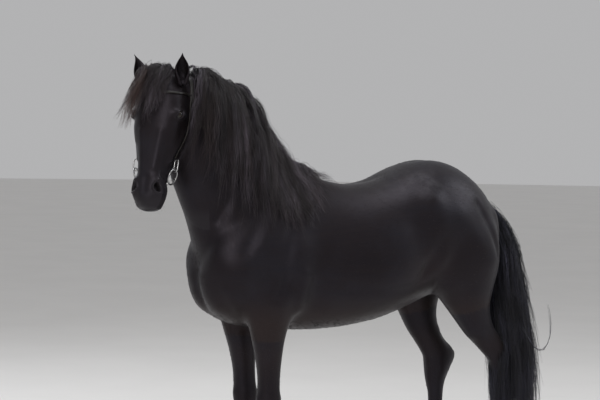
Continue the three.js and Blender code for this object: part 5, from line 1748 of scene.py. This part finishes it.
def strapMesh(name, path, width):
    # a flat strap with rounded edges; the attribute "edge" tells how near a point is to its long edges
    points, thick = path[0], strap["thick"]
    across, out = waysAlong(*path)
    a, b = np.array(strapEdge).T
    wide, tall = (a * width / 2)[None, :, None], (b * thick)[None, :, None]
    rings = points[:, None] + across[:, None] * wide + out[:, None] * tall
    verts, faces = closedRings(rings, [points[k] + out[k] * thick / 2 for k in (0, -1)])
    piece = makePiece(name, verts, faces)
    edge = np.r_[np.tile(np.clip((np.abs(a) - 0.8) / 0.2, 0, 1) * (b > 0.4), len(points)), 1, 1]
    addValues(piece.data, "edge", edge)
    piece.data.materials.append(finishes["leather"])
    return piece


def stitchTree():
    # stitches at even steps along a line, one small rounded stitch at each
    inputs = {"Line": "Geometry", "Spacing": "Float", "Length": "Float", "Radius": "Float", "Finish": "Material"}
    tree, node = newTree("stitches", inputs, "Stitches", {
        "curve": "GeometryNodeMeshToCurve", "points": "GeometryNodeCurveToPoints", "ball": "GeometryNodeMeshUVSphere",
        "shape": "ShaderNodeCombineXYZ", "place": "GeometryNodeInstanceOnPoints", "real": "GeometryNodeRealizeInstances",
        "smooth": "GeometryNodeSetShadeSmooth", "finish": "GeometryNodeSetMaterial",
    })
    node["points"].mode = "LENGTH"
    for label, value in (("Segments", 6), ("Rings", 4), ("Radius", 1)):
        node["ball"].inputs[label].default_value = value
    wire(
        tree, node, "in.Line curve.Mesh", "curve.Curve points.Curve", "in.Spacing points.Length",
        "in.Radius shape.X", "in.Radius shape.Y", "in.Length shape.Z", "points.Points place.Points",
        "points.Rotation place.Rotation", "ball.Mesh place.Instance", "shape.Vector place.Scale",
        "place.Instances real.Geometry", "real.Geometry smooth.Geometry", "smooth.Geometry finish.Geometry",
        "in.Finish finish.Material", "finish.Geometry out.Stitches",
    )
    return tree


stitcher = stitchTree()


def makeStitches(name, path, width):
    points, steps = path[0], len(path[0])
    across, out = waysAlong(*path)
    rows = [points + across * side * (width / 2 - stitch["inset"]) + out * strap["thick"] for side in (1, -1)]
    edges = [(first + k, first + k + 1) for first in (0, steps) for k in range(steps - 1)]
    mesh = bpy.data.meshes.new(name)
    mesh.from_pydata((np.concatenate(rows) / 1000 + shift).tolist(), edges, [])
    values = {label.capitalize(): stitch[label] / 1000 for label in ("spacing", "length", "radius")}
    return runTree(newObject(name, mesh), stitcher, values | {"Finish": finishes["thread"]})


def mirrorLine(line):
    return [(-x, y, z) for x, y, z in line]


def headLine(line):
    return line + mirrorLine(line[:-1])[::-1]


def throatPoints(side):
    top = fromHead([(side * throatTop[0], throatTop[1], throatTop[2])])[0]
    return [tuple(top)] + [(neckMiddle + side * x, y, z) for x, y, z in throatLine]


straps = {
    "crownpiece": (strapPath(headLine(crownLine)), 13),
    "browband": (strapPath(headLine(browLine)), 9),
    "cheekpiece_left": (strapPath(cheekLine), 10),
    "cheekpiece_right": (strapPath(mirrorLine(cheekLine)), 10),
    "throatlatch_left": (strapPath(throatPoints(1), 1), 8),
    "throatlatch_right": (strapPath(throatPoints(-1), -1), 8),
}
strapPieces = {name: strapMesh(f"{name}_leather", path, width) for name, (path, width) in straps.items()}
stitchPieces = {name: makeStitches(f"{name}_stitches", path, width) for name, (path, width) in straps.items()}


def ringRings(ring, side):
    # a round wire bent into a ring, or a long link
    place, normal = (np.array(ring[key], float) * (side, 1, 1) for key in ("place", "normal"))
    out = unit(normal)
    tall = unit(np.array([0, 0, 1.0]) - out * out[2])
    across = np.cross(tall, out)
    turns, sides = ringLook["turns"], ringLook["sides"]
    angle = np.linspace(0, 2 * np.pi, turns, endpoint=False)
    circle = np.stack([np.cos(angle), np.sin(angle)], 1)
    middle = circle * ring["radius"]
    middle[:, 1] += np.sign(np.round(middle[:, 1], 3)) * ring["stretch"]
    turn = np.linspace(0, 2 * np.pi, sides, endpoint=False)[None, :, None]
    spots = place + middle[:, :1] * across + middle[:, 1:] * tall
    away = circle[:, :1] * across + circle[:, 1:] * tall
    rings = spots[:, None] + ring["wire"] * (away[:, None] * np.cos(turn) + out * np.sin(turn))
    i, k = np.meshgrid(np.arange(turns), np.arange(sides), indexing="ij")
    after, around = (i + 1) % turns * sides, (k + 1) % sides
    faces = np.stack([i * sides + k, i * sides + around, after + around, after + k], -1)
    return fromHead(rings.reshape(-1, 3)), faces.reshape(-1, 4).tolist()


def fixNormals(mesh):
    work = bmesh.new()
    work.from_mesh(mesh)
    bmesh.ops.recalc_face_normals(work, faces=work.faces)
    work.to_mesh(mesh)
    work.free()


def makeRing(name, ring, side):
    piece = makePiece(name, *ringRings(ring, side))
    fixNormals(piece.data)
    piece.data.materials.append(finishes["steel"])
    return piece


def makeBitEnd(name, side):
    # the rounded end of the mouthpiece between the ring and the lips
    first, last = (np.array(bitEnd[key], float) * (side, 1, 1) for key in ("from", "to"))
    axis = unit(last - first)
    across = unit(np.cross(axis, (0, 0.3, 1)))
    up = np.cross(axis, across)
    t = np.linspace(0, 1, bitEnd["rings"])
    radius = bitEnd["radius"] * np.sqrt(np.clip(1 - (2 * t - 1) ** 6, 0.05, 1)) * (1 - 0.08 * np.cos(6 * t))
    turn = np.linspace(0, 2 * np.pi, bitEnd["sides"], endpoint=False)
    wheel = np.cos(turn)[:, None] * across + np.sin(turn)[:, None] * up
    rings = (first + (last - first) * t[:, None])[:, None] + radius[:, None, None] * wheel[None]
    verts, faces = closedRings(rings, [first, last])
    piece = makePiece(name, fromHead(verts), faces)
    piece.data.materials.append(finishes["steel"])
    return piece


steelPieces = {}
for sideName, sideSign in (("left", 1), ("right", -1)):
    for ringName, ringShape in links.items():
        steelPieces[f"{ringName}_{sideName}"] = makeRing(f"{ringName}_{sideName}_steel", ringShape, sideSign)
    steelPieces[f"bit_end_{sideName}"] = makeBitEnd(f"bit_end_{sideName}_steel", sideSign)
print("bridle done")


# What rides, and what it replaces
def settle(piece, slot, *nodes):
    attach(piece, "root")
    if nodes:
        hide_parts(*nodes)


flesh = ["torso", "neck", "head", "ear_left", "ear_right"]
flesh += [f"{leg}_{part}" for leg in stance for part in ("upper", "lower")]
settle(skin, "coat", *flesh)
for hairPiece in manePieces:
    settle(hairPiece, "hair", "neck")
settle(forelockPiece, "hair", "head")
for hairPiece in tailPieces:
    settle(hairPiece, "hair", "tail")
for coatPiece in tuftPieces + [fringes]:
    settle(coatPiece, "coat")
for hoofName, hoofPiece in hooves.items():
    settle(hoofPiece, "horn", f"{hoofName}_hoof")
for eyeName, eyePiece in eyes.items():
    settle(eyePiece, "eye", eyeName)
for strapName in straps:
    settle(strapPieces[strapName], "leather", strapName)
    settle(stitchPieces[strapName], "leather")
for steelName, steelPiece in steelPieces.items():
    settle(steelPiece, "steel", steelName)


# Floor, light and air
studio = {"floor": (0.8, 0.79, 0.775), "radius": 40, "sides": 128, "air": (0.8, 0.8, 0.81), "airStrength": 0.56}


def makeFloor():
    sides, radius = studio["sides"], studio["radius"]
    angle = np.linspace(0, 2 * np.pi, sides, endpoint=False)
    rim = np.stack([radius * np.cos(angle), radius * np.sin(angle), 0 * angle], 1)
    mesh = bpy.data.meshes.new("floor")
    mesh.from_pydata(rim.tolist(), [], [list(range(sides))])
    floor = newObject("floor", mesh)
    finish, tree, shader = newFinish("floor", Roughness=0.9, Specular_IOR_Level=0.2)
    cloudy = groupNode(tree, patches, Scale=1.2, Low=0.3, High=0.7)
    byObject(tree, cloudy)
    pale = studio["floor"]
    colour = mixColour(tree, pale, tuple(0.97 * c for c in pale), cloudy.outputs["Mask"])
    tree.links.new(colour, shader.inputs["Base Color"])
    mesh.materials.append(finish)
    floor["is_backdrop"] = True


def makeAir():
    world = bpy.data.worlds.new("studio")
    bpy.context.scene.world = world
    world.use_nodes = True
    air = world.node_tree.nodes["Background"]
    air.inputs["Color"].default_value = (*studio["air"], 1)
    air.inputs["Strength"].default_value = studio["airStrength"]


lamps = [  # place, aimed at, size, power, colour
    ((4.6, -4.2, 4.4), (0, -0.1, 1.1), 2.8, 120, (1, 0.97, 0.93)),
    ((1.2, 4.6, 4.2), (0, 0.4, 1.1), 2.6, 70, (0.94, 0.97, 1)),
    ((-4.2, -1.6, 3.6), (0, 0, 1.1), 2.8, 60, (0.93, 0.96, 1)),
    ((0.3, 0, 5.4), (0, 0, 0.9), 3.0, 80, (1, 1, 1)),
]


def makeLamps():
    for i, (place, target, size, power, colour) in enumerate(lamps):
        data = bpy.data.lights.new(f"lamp_{i}", "AREA")
        data.shape, data.size, data.energy, data.color = "DISK", size, power, colour
        lamp = bpy.data.objects.new(f"lamp_{i}", data)
        bpy.context.scene.collection.objects.link(lamp)
        way = (Vector(target) - Vector(place)).to_track_quat("-Z", "Y")
        lamp.matrix_world = Matrix.Translation(place) @ way.to_matrix().to_4x4()


makeFloor()
makeAir()
makeLamps()
bpy.context.scene.view_settings.view_transform = "Standard"

boxes = {"cad": cadBox, "visual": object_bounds()}
{name: [list(map(float, corner)) for corner in box] for name, box in boxes.items()}
print("stage done")
